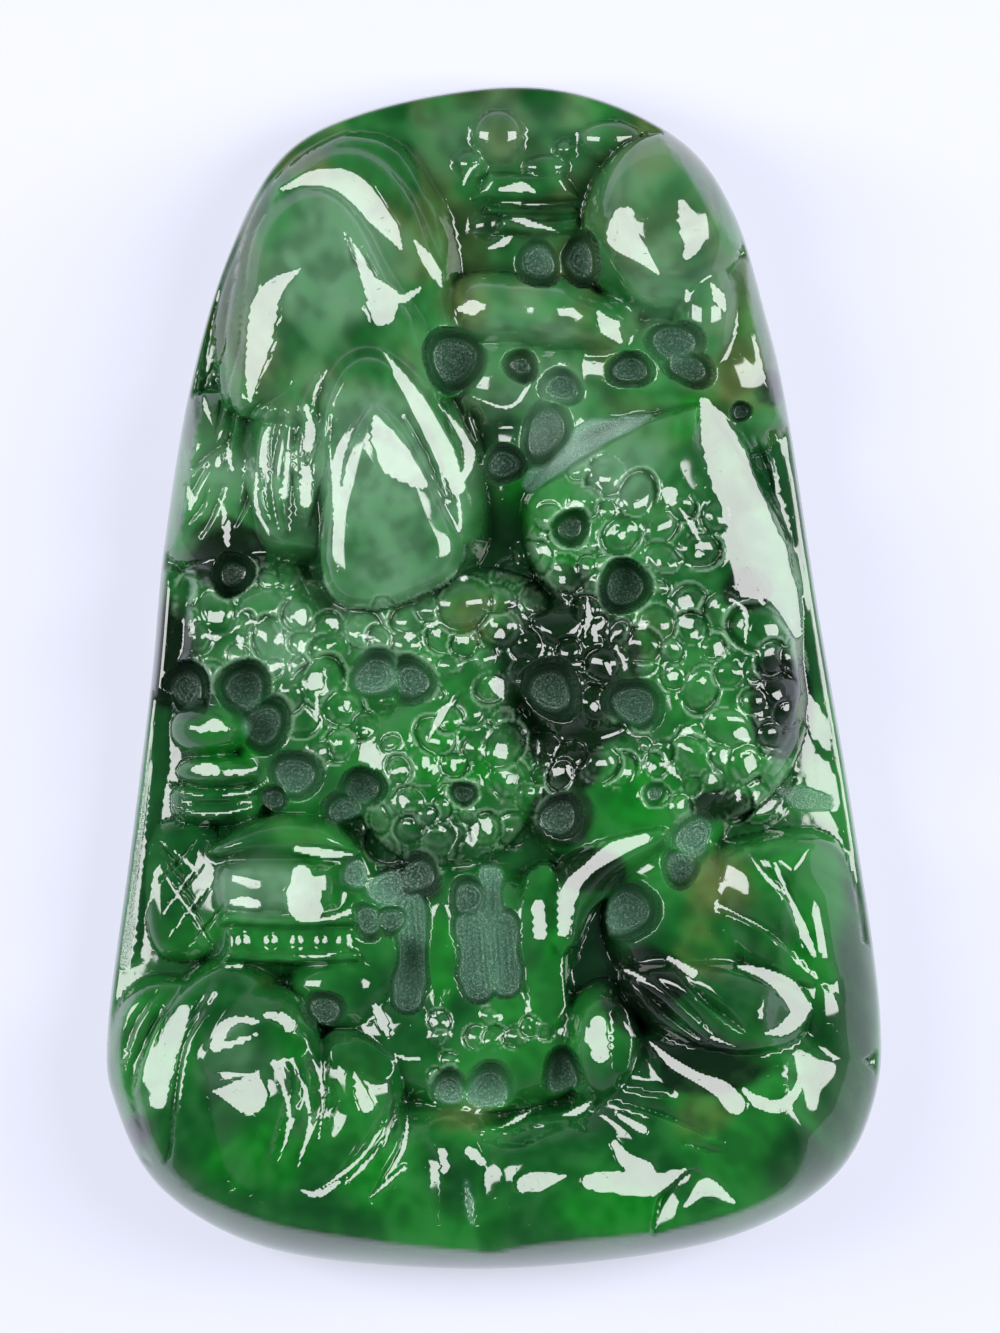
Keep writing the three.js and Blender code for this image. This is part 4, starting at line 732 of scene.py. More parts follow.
for curve, half in streaks:
    addFacet(curve, (0.05, half, 0.05), *rightFall)

# Ball-drilled hollows: x, y, half width, half height, floor, turn, roughness.
hollows = [
    (-1.95, 15.8, 1.6, 1.5, 4.8, 0, 1), (1.35, 15.5, 0.85, 0.85, 5.4, 0, 0.5),
    (3.4, 14.4, 1.05, 1.0, 5.2, 0, 1), (2.6, 12.2, 1.1, 1.9, 5.0, -20, 0.9),
    (0.5, 10.6, 1.0, 1.0, 4.8, 0, 1), (6.8, 15.3, 1.1, 0.9, 5.4, 0, 1), (9.0, 16.6, 1.4, 1.2, 5.4, 0, 1),
    (9.7, 15.4, 1.3, 0.9, 5.4, -15, 0.8), (12.3, 13.2, 0.5, 0.5, 5.8, 0, 0.8),
    (2.2, 20.7, 1.25, 1.2, 3.4, 0, 0.8), (4.3, 20.8, 1.0, 1.3, 3.6, 0, 0.8),
    (-0.3, 22.6, 1.1, 1.2, 3.9, 0, 0.2), (3.8, 7.4, 0.95, 0.9, 8.0, 0, 0.6),
    (6.5, 4.5, 1.35, 1.2, 7.2, 20, 1), (2.8, -0.7, 1.45, 1.5, 7.0, 0, 0.8),
    (7.0, -1.4, 1.45, 1.3, 7.4, 10, 1), (-5.9, 0.0, 1.4, 1.3, 6.9, 0, 1),
    (-4.1, -0.2, 1.2, 1.1, 7.0, 0, 1), (-12.4, -0.6, 1.4, 1.3, 6.2, 0, 1),
    (-11.5, -2.4, 1.35, 1.4, 6.0, 0, 0.9), (-9.9, -4.9, 1.3, 1.3, 6.4, 0, 1),
    (-11.0, -6.1, 0.8, 0.6, 6.0, 0, 1), (-6.6, -5.6, 1.15, 1.1, 6.6, 0, 1),
    (-7.4, -6.8, 1.2, 1.2, 6.3, 0, 0.9), (-13.0, 5.1, 1.1, 1.0, 6.0, 0, 0.5),
    (-15.3, -0.6, 1.2, 1.3, 5.6, 0, 0.7), (-1.5, -5.8, 0.65, 0.6, 8.4, 0, 1),
    (3.2, -7.0, 1.15, 1.2, 6.9, 0, 1), (8.0, -5.8, 0.65, 0.65, 8.2, 0, 0.5),
    (10.0, -8.0, 1.2, 1.35, 7.0, -30, 1), (9.3, -9.4, 1.0, 1.0, 7.0, 0, 1),
    (6.6, -11.7, 1.65, 1.45, 6.4, 15, 1), (-6.8, -9.8, 0.95, 0.95, 6.4, 0, 1),
    (-5.3, -10.5, 1.4, 1.25, 6.1, 0, 1), (-3.8, -9.9, 1.1, 1.1, 6.0, 0, 1),
    (-6.2, -12.1, 0.9, 0.9, 6.2, 0, 1), (-5.1, -12.1, 0.8, 0.8, 5.9, 0, 1),
    (-1.2, -11.0, 1.05, 1.05, 6.2, 0, 1), (-8.4, -16.6, 1.05, 1.0, 6.5, 0, 0.8),
    (-2.2, -20.6, 1.0, 1.1, 6.4, 0, 0.9), (-0.3, -20.6, 1.35, 1.45, 6.2, 0, 1),
    (3.4, -19.9, 0.95, 1.5, 6.4, -8, 1),
]
slots = [
    ([(-4.2, -11.4), (-4.05, -14.0), (-4.3, -16.0)], 0.75, 6.5),
    ([(-0.15, -9.3), (-0.15, -10.6), (-0.15, -12.2)], 0.55, 6.6),
    ([(-1.0, -12.4), (-0.9, -14.0), (-0.75, -15.4)], 0.85, 6.5),
    ([(0.4, -12.4), (0.5, -13.8), (0.6, -15.2)], 0.75, 6.6),
]
for hollow in hollows:
    cutPit(*hollow)
for slot in slots:
    cutChannel(*slot)
print("hollows drilled:", len(hollows) + len(slots))

# The pagoda between the peaks, roof by roof.
addMass(0.2, 27.0, 1.4, 1.4, 1.5, 4.0, 5.2, 2, 3)
addMass(-1.2, 25.6, 0.9, 0.8, 0.9, 4.0, 5.1)
addMass(3.5, 26.3, 0.6, 0.6, 0.6, 4.0, 5.0)
addMass(2.6, 25.4, 1.2, 0.7, 0.6, 4.2, 5.0, 2, 3)
addPlate(1.6, 25.1, 23.6, 1.8, 2.8, 5.2, 4.9, 0.2, 0.5, True)
addPlate(1.9, 23.4, 23.0, 2.2, 2.4, 4.8, 4.7, 0.1, 0.3, True)
addPlate(2.3, 22.8, 21.9, 1.9, 2.4, 5.1, 4.7, 0.25, 0.45, True)
addFacet([(0.3, 24.3), (1.4, 24.4), (2.0, 24.2)], (0.1, 0.3, 0.1), *rightFall)
addFacet([(0.4, 23.7), (2.2, 23.6), (4.0, 23.6)], (0.06, 0.08, 0.06), *rightFall)
addFacet([(0.8, 22.8), (1.6, 22.7), (3.2, 22.2)], (0.1, 0.22, 0.06), *leftFall)
addFacet([(-0.8, 25.6), (-1.3, 25.1), (-1.5, 24.6)], (0.06, 0.12, 0.06), *leftFall)
addFacet([(-0.2, 21.4), (0.5, 21.7), (0.9, 22.0)], (0.08, 0.2, 0.08), *leftFall)

# The house: a hipped roof, a bowed wall, an eave and a lower floor with its windows.
addShell([(-14.2, -8.6), (-13.45, -7.9), (-12.2, -7.2), (-10.2, -6.8), (-8.2, -7.1), (-7.1, -8.1),
          (-6.8, -8.9), (-9.7, -9.0), (-12.7, -9.1), (-14.0, -9.0)], 7.4, 0.5, 1.2, 1.5)
addMass(-10.7, -10.4, 3.2, 1.45, 1.55, 6.8, 8.9, 4, 2)
addPlate(-10.2, -11.9, -12.5, 3.2, 3.5, 8.6, 8.3, 0.2)
addPlate(-10.2, -12.5, -13.8, 3.1, 3.1, 7.8, 8.0)
addPlate(-10.1, -13.8, -14.3, 3.3, 3.5, 8.4, 8.0, 0.15)
for x in (-12.6, -11.2, -9.9, -8.7, -7.6):
    cutGroove([(x, -12.5), (x + 0.1, -13.2), (x, -13.9)], 0.35, 0.12 + 0.1 * scatter(int(-10 * x), 1))
# worn soft by the polish
worn = 1 - smooth(0.75, 1.0, np.maximum(np.abs(gridX + 10.5) / 4.2, np.abs(gridY + 10.6) / 4.2))
height += worn * (blurred(height, 6) - height)
addFacet([(-9.6, -9.8), (-9.5, -10.6), (-9.4, -11.4)], (0.5, 0.8, 0.95), *rightFall)
addFacet([(-13.0, -11.2), (-12.4, -11.2), (-11.8, -11.3)], (0.2, 0.3, 0.25), *leftFall)
addFacet([(-9.8, -8.55), (-8.4, -8.75), (-7.05, -8.85)], (0.22, 0.26, 0.12), *rightFall)
addFacet([(-9.6, -12.2), (-8.2, -12.0), (-7.2, -11.7)], (0.05, 0.12, 0.2), *rightFall)
addFacet([(-10.0, -13.85), (-8.8, -13.9), (-7.6, -13.7)], (0.05, 0.1, 0.06), *rightFall)
addFacet([(-13.3, -14.4), (-12.6, -14.4)], (0.12, 0.16), *leftFall)

# The round pavilion and the lattice panel below it.
addMass(-14.1, -2.6, 2.0, 1.5, 1.5, 6.6, 8.9, 2, 2, 0, 0.6)
addMass(-13.6, -4.7, 2.2, 0.9, 0.9, 6.8, 8.6, 2, 2, 0, 0.5)
addMass(-13.8, -6.2, 2.3, 1.0, 1.2, 6.0, 7.5, 3, 4, 0, 0.9)
for curve in ([(-16.2, -5.3), (-15.2, -5.8), (-13.8, -5.9), (-12.2, -5.7), (-11.2, -5.2)],
              [(-16.0, -6.4), (-14.8, -6.8), (-13.4, -6.8), (-12.0, -6.5)]):
    addPetal(curve, 0.35, 0.25)
    addFacet(curve, (0.03, 0.07, 0.04), *rightFall)
addFacet([(-14.6, -2.7), (-13.9, -2.4), (-13.3, -2.6)], (0.12, 0.35, 0.12), *leftFall)
addFacet([(-14.8, -4.6), (-14.3, -4.6), (-13.9, -4.65)], (0.2, 0.35, 0.3), *leftFall)
addFacet([(-13.2, -4.8), (-12.5, -4.8), (-11.8, -4.5)], (0.2, 0.16, 0.06), *rightFall)
addMass(-15.4, -10.4, 2.0, 3.4, 3.8, 5.4, 6.7, 3, 6, 0, 1.4)
for curve in ([(-16.6, -9.6), (-15.0, -11.9), (-14.25, -13.1)],
              [(-16.4, -11.8), (-15.3, -10.1), (-14.2, -9.1)],
              [(-16.3, -13.1), (-14.7, -11.0), (-14.1, -10.4)],
              [(-15.9, -8.7), (-15.2, -9.3), (-14.5, -10.1)]):
    addFacet(curve, (0.03, 0.09, 0.04), *leftFall)
for step in range(4):
    x, y = -16.4 + 0.45 * step, -8.6 - 1.1 * step
    cutGroove([(x - 0.5, y + 0.6), (x + 0.5, y - 0.6), (x + 1.3, y - 1.8)], 0.14, 0.3)
    cutGroove([(x + 1.6, y + 0.5), (x + 0.7, y - 0.6), (x - 0.3, y - 1.6)], 0.14, 0.3)

# The bare ledge along both sides was left from the saw and only half polished.
matt = np.maximum(matt, 0.2 * (1 - smooth(0.1, 0.5, height - ledge)) * (gridY < 12))
matt = blurred(matt, 3)

# The crown: nothing stands above an even curve in from the edge.
rise = 1 - (1 - np.clip(depth / blank["crownReach"], 0, 1)) ** blank["crownPower"]
crown = blank["edgeZ"] + blank["crownRise"] * rise ** blank["crownRound"]
# at the lower right the pebble's edge rolls in further
roll = dict(x=19.0, y=-16.0, half=6.5, tall=11.0, rise=5.6, reach=3.4, beyond=0.15, far=9.0)
turnedIn = np.clip(depth / roll["reach"], 0, 1)
rolled = (blank["edgeZ"] + roll["rise"] * np.sqrt(1 - (1 - turnedIn) ** 2)
          + roll["beyond"] * np.clip(depth - roll["reach"], 0, roll["far"]))
here = 1 - smooth(0.6, 1.2, np.hypot((gridX - roll["x"]) / roll["half"], (gridY - roll["y"]) / roll["tall"]))
crown = np.minimum(crown, crown * (1 - here) + rolled * here)
over = np.clip(height - crown, 0, None)
height = (-softMax(-height, -crown, blank["crownBlend"])
          + blank["crownOver"] * over * smooth(0.8, 3.0, depth))

# hand polish leaves the skin slightly uneven: wavelength, height, seed
for pitch, size, seed in ((3.2, 0.1, 3), (1.3, 0.03, 5), (0.5, 0.01, 8)):
    height += size * handWaves(pitch, seed) * np.clip(depth / 0.8, 0, 1)
height += 0.05 * handWaves(0.25, 13) * matt
print("relief carved, highest", round(float(height[inward > 0].max()), 2), "mm")

# Jadeite, drilled and hand polished: a felt of fine grains that lets light a little way in, so the green
# looks deep and cloudy under a hard wet gloss, with iron-brown skin, black spots, and drill cuts left grey
# and sugary. Sizes are in millimetres; the grain is drawn coarser than the real felt so that it shows.
# The darker and paler felt colours also serve as painted shade in hollows and painted light on raised parts,
# and the edge colour is a painted highlight on the rims of the tree heads.
jadeite = dict(deep="#145222", mid="#2c7237", vivid="#107a1d", pale="#669270", brown="#5e6a3c",
               shade="#113a1c", black="#0c0e0d", frost="#68a586", sugar="#cfe6da", darkFeltAndHollowShade="#0c3118",
               paleFeltAndCrestLight="#55965e", edge="#9cc0a0", polish=0.07, rough=0.3, glossBand=(0.05, 0.8), ior=1.66,
               inside=0.3, scatter=(0.5, 1.0, 0.6), reach=1.5, cloud=4.0, vein=1.3, felt=0.7, fibre=0.3,
               tuft=1.7, speck=0.3, grain=0.1, bareBand=(0.3, 0.8), sparkle=0.65, sparkleBand=(0.5, 0.75),
               toolMark=0.25, ring=0.16, flaw=-0.012, flawBand=(0.66, 0.74), bumpDepth=0.35,
               bumpStrength=0.8, drawnIn=0.45, spotDrawnIn=0.25)

# What the stone holds, in soft patches, in the order they are laid: where each starts and is full against
# the mottling, then x, y, half width, half height, strength.
patches = dict(
    vivid=(0.7, 1.5, [(2.3, 8.9, 2.2, 2.0, 1.0), (3.3, 5.1, 2.2, 1.4, 0.8), (-13.2, -3.1, 2.2, 1.6, 0.9),
           (-2.7, -14.1, 1.2, 2.6, 0.9), (3.3, -13.6, 1.0, 2.2, 0.9), (-12.2, -24.1, 3.6, 2.2, 0.8),
           (-6.2, -25.1, 2.2, 1.8, 0.7), (6.3, -26.6, 4.0, 1.6, 0.8), (-10.2, -18.1, 1.6, 1.6, 0.6),
           (5.3, -17.1, 1.4, 2.0, 0.6), (15.3, -13.1, 1.0, 1.6, 0.7), (11.8, 22.9, 0.9, 2.6, 0.8),
           (4.8, 28.1, 1.4, 1.0, 0.5), (-2.7, 28.4, 1.2, 1.0, 0.5), (9.8, 12.9, 1.4, 1.4, 0.7),
           (-2.0, -4.6, 3.0, 2.6, 0.5), (7.8, -0.6, 2.0, 1.6, 0.4), (7.3, -5.6, 2.4, 2.0, 0.6)]),
    pale=(0.6, 1.4, [(-8.2, 20.4, 4.0, 5.0, 0.7), (-5.45, 8.9, 4.4, 7.0, 0.52),
                     (-10.7, 16.9, 2.8, 3.5, 0.4), (-11.0, 10.0, 2.6, 4.0, 0.4),
                     (-13.6, 10.5, 2.0, 3.0, 0.25), (0.5, 27.0, 6.0, 2.6, 0.5),
                     (2.5, 13.5, 3.0, 3.0, 0.6), (9.0, 19.5, 3.0, 4.0, 0.5), (7.3, 23.9, 3.0, 3.2, 0.3),
                     (0.3, 14.9, 3.2, 1.8, 0.4), (0.9, 17.3, 3.6, 1.8, 0.35), (6.3, 10.4, 3.0, 1.8, 0.5),
                     (-12.9, -19.1, 2.4, 2.4, 0.4), (-17.2, -20.1, 1.6, 3.5, 0.3),
                     (-11.7, -10.3, 2.8, 1.8, 0.8), (-11.7, 1.9, 3.0, 2.4, 0.4),
                     (-0.2, -12.6, 1.4, 2.4, 0.5)]),
    brown=(0.75, 1.5, [(-12.8, 16.5, 1.5, 2.5, 0.45), (-6.0, 24.8, 1.5, 1.2, 0.4),
                       (2.5, 27.6, 3.0, 1.0, 0.45), (-12.6, 21.5, 1.2, 2.5, 0.4),
                       (0.8, 26.4, 3.0, 2.2, 0.55), (-9.7, 25.6, 2.4, 1.2, 0.6),
                       (-4.7, 23.9, 1.4, 1.6, 0.5), (-1.7, 18.4, 1.8, 1.6, 0.5),
                       (-6.5, 16.6, 2.2, 1.0, 0.5), (-0.7, 3.1, 2.4, 1.4, 0.45),
                       (7.8, 1.9, 2.4, 1.6, 0.4), (12.5, 15.4, 1.8, 2.2, 0.8), (8.3, 25.9, 2.2, 1.2, 0.5),
                       (-9.7, -7.6, 2.0, 1.2, 0.5), (11.3, -10.6, 2.2, 2.0, 0.7),
                       (10.3, -13.6, 2.0, 2.0, 0.5), (-6.5, -19.1, 2.0, 2.2, 0.45),
                       (-12.2, -15.6, 1.8, 1.2, 0.35), (-1.7, -21.9, 2.4, 1.0, 0.5),
                       (10.3, -21.6, 2.5, 1.5, 0.4), (-13.2, 6.9, 1.6, 1.6, 0.4),
                       (-10.7, 15.4, 1.6, 1.2, 0.5)]),
    shade=(0.7, 1.5, [(-13.4, 19.9, 1.2, 3.5, 0.55), (-12.0, 23.8, 1.6, 2.0, 0.5),
                      (-9.2, 26.6, 3.0, 1.0, 0.45), (-14.6, 14.5, 1.4, 3.0, 0.6),
                      (-2.0, 28.0, 4.0, 1.2, 0.5), (5.3, -13.6, 2.4, 3.0, 0.8),
                      (10.3, -16.6, 5.0, 2.6, 0.6), (13.3, -12.6, 2.0, 3.5, 0.5),
                      (17.3, -20.1, 1.8, 4.5, 0.7), (18.2, -14.5, 1.2, 8.0, 0.7),
                      (15.0, -24.1, 2.6, 2.2, 0.9), (1.3, 11.9, 1.6, 2.0, 0.7),
                      (1.3, 22.9, 3.2, 2.4, 0.6), (-1.7, -25.6, 1.4, 2.2, 0.6),
                      (-8.2, -16.6, 1.4, 1.4, 0.6), (-7.2, -26.9, 2.5, 1.2, 0.4)]),
    black=(0.4, 0.8, [(3.6, 0.4, 3.2, 4.4, 1.0), (3.8, -3.1, 1.6, 2.4, 0.9), (3.4, -6.9, 1.4, 1.4, 0.8),
           (-16.2, 1.1, 1.5, 2.6, 1.0), (-15.2, -0.6, 1.4, 1.4, 0.8), (-13.4, 5.9, 1.8, 1.8, 0.9),
           (14.3, -1.1, 1.4, 2.6, 1.0), (12.5, 4.4, 1.2, 1.0, 0.6), (-4.2, -10.1, 1.6, 1.2, 0.7),
           (11.3, -6.4, 1.6, 0.7, 0.5), (13.8, 14.4, 0.8, 0.8, 0.5), (-17.7, -22.6, 0.8, 0.8, 0.5),
           (7.5, -15.6, 2.0, 2.0, 0.7), (10.3, -19.1, 3.2, 1.6, 0.4), (4.8, -9.6, 1.6, 1.0, 0.7)]),
)

# The skin: rings of points along the rim, a close grid where the carving is fine and an open one elsewhere.
skin = dict(fine=0.115, rowShare=0.866, rimPitch=0.2, rings=(0.0, 0.05, 0.11, 0.18, 0.27, 0.38, 0.52, 0.7),
            ringGap=0.1, points=88000, shineWeight=30, turns=8, back=0.9, backGap=0.5, nearest=1e-7)
rim = evenCurve(outline, skin["rimPitch"])
along = np.roll(rim, -1, 0) - np.roll(rim, 1, 0)
along /= np.hypot(*along.T)[:, None]
inwardWay = np.column_stack([along[:, 1], -along[:, 0]])  # the outline runs clockwise
ringPoints = [rim + inwardWay * inset for inset in skin["rings"]]
bend = sum(np.abs(np.gradient(np.gradient(height, cell, axis=a), cell, axis=a)) for a in (0, 1))
bend += skin["shineWeight"] * sum(np.abs(np.gradient(shine, axis=a)) for a in (0, 1))
for axis in (0, 1):
    bend = np.maximum.reduce([np.roll(bend, shift, axis) for shift in range(-3, 4)])
column, row = np.meshgrid(np.arange(int((highX - lowX) / skin["fine"])),
                          np.arange(int((highY - lowY) / (skin["fine"] * skin["rowShare"]))))
px = lowX + (column + 0.5 * (row % 2)) * skin["fine"]
py = lowY + row * skin["fine"] * skin["rowShare"]
isOpen = (row % 2 == 0) & ((column + row // 2) % 2 == 0)
keep = sample(inward, px, py) > skin["rings"][-1] + skin["ringGap"]
px, py, isOpen = px[keep], py[keep], isOpen[keep]
need = sample(bend, px, py)
spare = skin["points"] - len(rim) * len(ringPoints) - isOpen.sum()
limit = np.sort(need[~isOpen])[::-1][min(spare, (~isOpen).sum() - 1)]
chosen = isOpen | (need > limit)
flatPoints = np.vstack(ringPoints + [np.column_stack([px[chosen], py[chosen]])])
made = delaunay_2d_cdt([Vector(p) for p in flatPoints], [], [list(range(len(rim)))], 1, skin["nearest"])
order = [o[0] for o in made[3]]
faces = [[order[i] for i in f] for f in made[2]]
tops = np.where(np.arange(len(flatPoints)) < len(rim), blank["edgeZ"], sample(height, *flatPoints.T))
points = np.column_stack([flatPoints, tops])
# the side turns under in rings to the flat back
below = np.arange(len(rim))
for step in range(1, skin["turns"] + 1):
    angle = step / skin["turns"] * math.pi / 2
    ring = rim + inwardWay * blank["backRound"] * (1 - math.cos(angle))
    lower = len(points) + np.arange(len(rim))
    atSide = np.full(len(rim), blank["edgeZ"] * (1 - math.sin(angle)))
    points = np.vstack([points, np.column_stack([ring, atSide])])
    faces += np.column_stack([below, np.roll(below, -1), np.roll(lower, -1), lower]).tolist()
    below = lower
# the back is an open grid, so that the stone's clouds show on it
axes = np.meshgrid(np.arange(lowX, highX, skin["back"]), np.arange(lowY, highY, skin["back"]))
backX, backY = (axis.ravel() for axis in axes)
within = sample(inward, backX, backY) > blank["backRound"] + skin["backGap"]
backPoints = np.vstack([points[below, :2], np.column_stack([backX[within], backY[within]])])
made = delaunay_2d_cdt([Vector(p) for p in backPoints], [], [list(range(len(rim)))], 1, skin["nearest"])
number = np.concatenate([below, len(points) + np.arange(len(backPoints) - len(rim))])
faces += [[int(number[made[3][i][0]]) for i in f[::-1]] for f in made[2]]
atBack = np.zeros(len(backPoints) - len(rim))
points = np.vstack([points, np.column_stack([backPoints[len(rim):], atBack])])
mesh = bpy.data.meshes.new("jadePendant")
mesh.from_pydata(((points - (*middle, 0)) * mm).tolist(), [], faces)
onTop = np.arange(len(points)) < len(flatPoints)
# how far each point stands above or lies below what is around it, which the colour turns into painted light
# on raised parts and rims and painted shade in hollows
headRimLight = (height - blurred(height, 8)) * blurred(heads, 4)
small, large = blurred(height[::2, ::2], 30), blurred(height[::4, ::4], 40)
near = np.repeat(np.repeat(small, 2, 0), 2, 1)[:len(axisY), :len(axisX)]
wide = np.repeat(np.repeat(large, 4, 0), 4, 1)[:len(axisY), :len(axisX)]
stand = np.clip(0.5 * (height - near) + 0.35 * (height - wide), -1, 1) * smooth(0.3, 1.5, depth)
at = points[:, :2].T
matt, turnMark, stand, headRimLight = (sample(field, *at) * onTop for field in (matt, turnMark, stand, headRimLight))
# the felt of the stone: clouds, veins and grains, each as waves of its own size, drawn in with depth
# so that walls cut across them
across = at * (1 - jadeite["drawnIn"] * (1 - points[:, 2] / points[:, 2].max()))
spotX, spotY = at * (1 - jadeite["spotDrawnIn"] * np.clip(1 - points[:, 2] / blank["edgeZ"], 0, 1))
cloud = 0.5 * handWaves(jadeite["cloud"], 31) + 0.35 * handWaves(jadeite["cloud"] / 2, 32)
vein = 0.55 * handWaves(jadeite["vein"], 33) + 0.45 * handWaves(jadeite["vein"] / 2, 34)
felt = (0.4 * handWaves(jadeite["felt"], 35) + 0.4 * handWaves(jadeite["fibre"], 36)
        + 0.15 * handWaves(jadeite["tuft"], 37))
cloud, vein, felt = (0.5 + sample(waves, *across) for waves in (cloud, vein, felt))


def tinted(colour, share, name):
    # moves each point's colour by its share toward one of the stone's colours
    return colour + np.clip(share, 0, 1)[:, None] * (np.array(linear(jadeite[name])) - colour)


stone = tinted(np.tile(linear(jadeite["deep"]), (len(points), 1)), smooth(0.35, 0.65, cloud), "mid")
milky = 0.35 + 0.65 * smooth(-8, 8, points[:, 1])  # the lower stone is clearer and greener
stone = tinted(stone, 0.8 * (1 - milky) * smooth(0.3, 0.6, cloud), "vivid")
stone = tinted(stone, 0.6 * smooth(5, 20, points[:, 1]) * smooth(0.3, 0.7, vein), "brown")
for name, (low, high, spots) in patches.items():
    strength = np.zeros(len(points))
    for x, y, half, tall, most in spots:
        r = np.hypot((spotX - x) / half, (spotY - y) / tall)
        strength = np.maximum(strength, most * (1 - smooth(0.35, 1.35, r)))
    mottled = smooth(low, high, strength + 0.6 * (cloud + vein))
    stone = tinted(stone, 0.9 * mottled * smooth(0, 0.15, strength), name)
clear = 1 - smooth(0.2, 0.7, strength)  # what the black spots, which come last, leave free
band = 1 - smooth(0.6, 1.2, np.hypot((at[0] - 4.6) / 4.0, (at[1] - 11.7) / 1.8))  # the bare crest is whiter
# Then by form: the most it moves, where that starts and is full on a map, what holds it back, which colour.
# The felt rows are the stone's own mottling; the others paint light and shade.
for most, start, full, field, limit, name in (
        (0.42, 0.35, 0.8, felt, clear, "darkFeltAndHollowShade"),
        (0.28, 0.5, 0.15, felt, clear * milky, "paleFeltAndCrestLight"),
        # painted light: raised parts paler
        (0.25, 0.08, 0.5, stand, clear * milky, "paleFeltAndCrestLight"),
        # painted highlight along the rims of the tree heads
        (0.4, 0.01, 0.07, headRimLight, clear, "edge"),
        (0.85, 0.1, 0.8, matt, 0.5 + 0.5 * clear, "frost"),
        (0.3, 0.3, 0.8, matt, band, "sugar"),
        # painted shade: hollows and the walls of drill cuts darker
        (0.62, 0.05, 0.7, -stand, 1 - 0.1 * smooth(0.2, 0.8, matt), "darkFeltAndHollowShade")):
    stone = tinted(stone, most * smooth(start, full, field) * limit, name)
for name, values in (("matt", matt), ("turnMark", turnMark)):
    mesh.attributes.new(name, "FLOAT", "POINT").data.foreach_set("value", values.astype(np.float32))
stoneLayer = mesh.attributes.new("stone", "FLOAT_COLOR", "POINT")
stoneLayer.data.foreach_set("color", stone.astype(np.float32).ravel())
shape = bmesh.new()
shape.from_mesh(mesh)
bmesh.ops.recalc_face_normals(shape, faces=shape.faces)
shape.to_mesh(mesh)
shape.free()
mesh.shade_smooth()
# smooth normals from the height map, with the rubbed strips kept true to their plane
calm = height + blurred(heads, 2) * (blurred(height, 2) - height)
fallY, fallX = (-slope for slope in np.gradient(calm, cell))
fallX += shine * (shineX - fallX)
fallY += shine * (shineY - fallY)
normals = np.array([v.vector for v in mesh.vertex_normals])
smoothed = np.column_stack([sample(fallX, *at), sample(fallY, *at), np.ones(len(points))])
smoothed /= np.linalg.norm(smoothed, axis=1)[:, None]
share = (smooth(0.2, 0.7, sample(depth, *at)) * onTop)[:, None]
mesh.normals_split_custom_set_from_vertices((normals * (1 - share) + smoothed * share).tolist())
pendant = bpy.data.objects.new("jadePendant", mesh)
bpy.context.scene.collection.objects.link(pendant)
mesh.calc_loop_triangles()
print("pendant skin", len(mesh.vertices), "points", len(mesh.loop_triangles), "triangles")


def addNode(tree, kind, settings, inputs):
    # one node: its settings, then each input as a value or as another node's output
    node = tree.nodes.new(kind)
    for key, value in settings.items():
        setattr(node, key, value)
    for key, value in inputs.items():
        if isinstance(value, bpy.types.NodeSocket):
            tree.links.new(value, node.inputs[key])
        else:
            node.inputs[key].default_value = value
    return node.outputs


material = bpy.data.materials.new("jadeiteDrilledAndHandPolished")
material.use_nodes = True
tree = material.node_tree
shader = tree.nodes["Principled BSDF"]
place = addNode(tree, "ShaderNodeTexCoord", {}, {})["Object"]
tint, rough, fromAxis = (addNode(tree, "ShaderNodeAttribute", {"attribute_name": name}, {})[kind]
                         for name, kind in (("stone", "Color"), ("matt", "Fac"), ("turnMark", "Fac")))
sugar, speck = (addNode(tree, "ShaderNodeTexNoise", {},
                        {"Vector": place, "Scale": 1 / (jadeite[size] * mm), "Detail": 2})["Fac"]
                for size in ("grain", "speck"))
# sugary grains where the drill left the stone rough, so that light scatters white off its cuts
bare, sparkle, gloss, flaws = (
    addNode(tree, "ShaderNodeMapRange", {}, {0: field, 1: band[0], 2: band[1], 3: low, 4: high})[0]
    for field, band, low, high in ((rough, jadeite["bareBand"], 0.0, 1.0),
                                   (sugar, jadeite["sparkleBand"], 0.0, jadeite["sparkle"]),
                                   (rough, jadeite["glossBand"], jadeite["polish"], jadeite["rough"]),
                                   (speck, jadeite["flawBand"], 0.0, jadeite["flaw"])))
grains = addNode(tree, "ShaderNodeMath", {"operation": "MULTIPLY"}, {0: bare, 1: sparkle})[0]
colour = addNode(tree, "ShaderNodeMix", {"data_type": "RGBA"},
                 {0: grains, 6: tint, 7: linear(jadeite["sugar"])})[2]
# the drill's turns and grains stand up where it is rough, and tiny flaws are open in the polish
turns = addNode(tree, "ShaderNodeMath", {"operation": "MULTIPLY"},
                {0: fromAxis, 1: 2 * math.pi / jadeite["toolMark"]})[0]
rings = addNode(tree, "ShaderNodeMath", {"operation": "SINE"}, {0: turns})[0]
uneven = addNode(tree, "ShaderNodeMath", {"operation": "MULTIPLY_ADD"},
                 {0: rings, 1: jadeite["ring"], 2: sugar})[0]
relief = addNode(tree, "ShaderNodeMath", {"operation": "MULTIPLY_ADD"}, {0: uneven, 1: bare, 2: flaws})[0]
bump = addNode(tree, "ShaderNodeBump", {}, {"Height": relief, "Distance": jadeite["bumpDepth"] * mm,
                                            "Strength": jadeite["bumpStrength"]})["Normal"]
for key, value in (("Base Color", colour), ("Roughness", gloss), ("Normal", bump)):
    tree.links.new(value, shader.inputs[key])
for key, value in (("IOR", jadeite["ior"]), ("Subsurface Weight", jadeite["inside"]),
                   ("Subsurface Radius", jadeite["scatter"]), ("Subsurface Scale", jadeite["reach"] * mm)):
    shader.inputs[key].default_value = value
mesh.materials.append(material)
print("jadeite mixed")

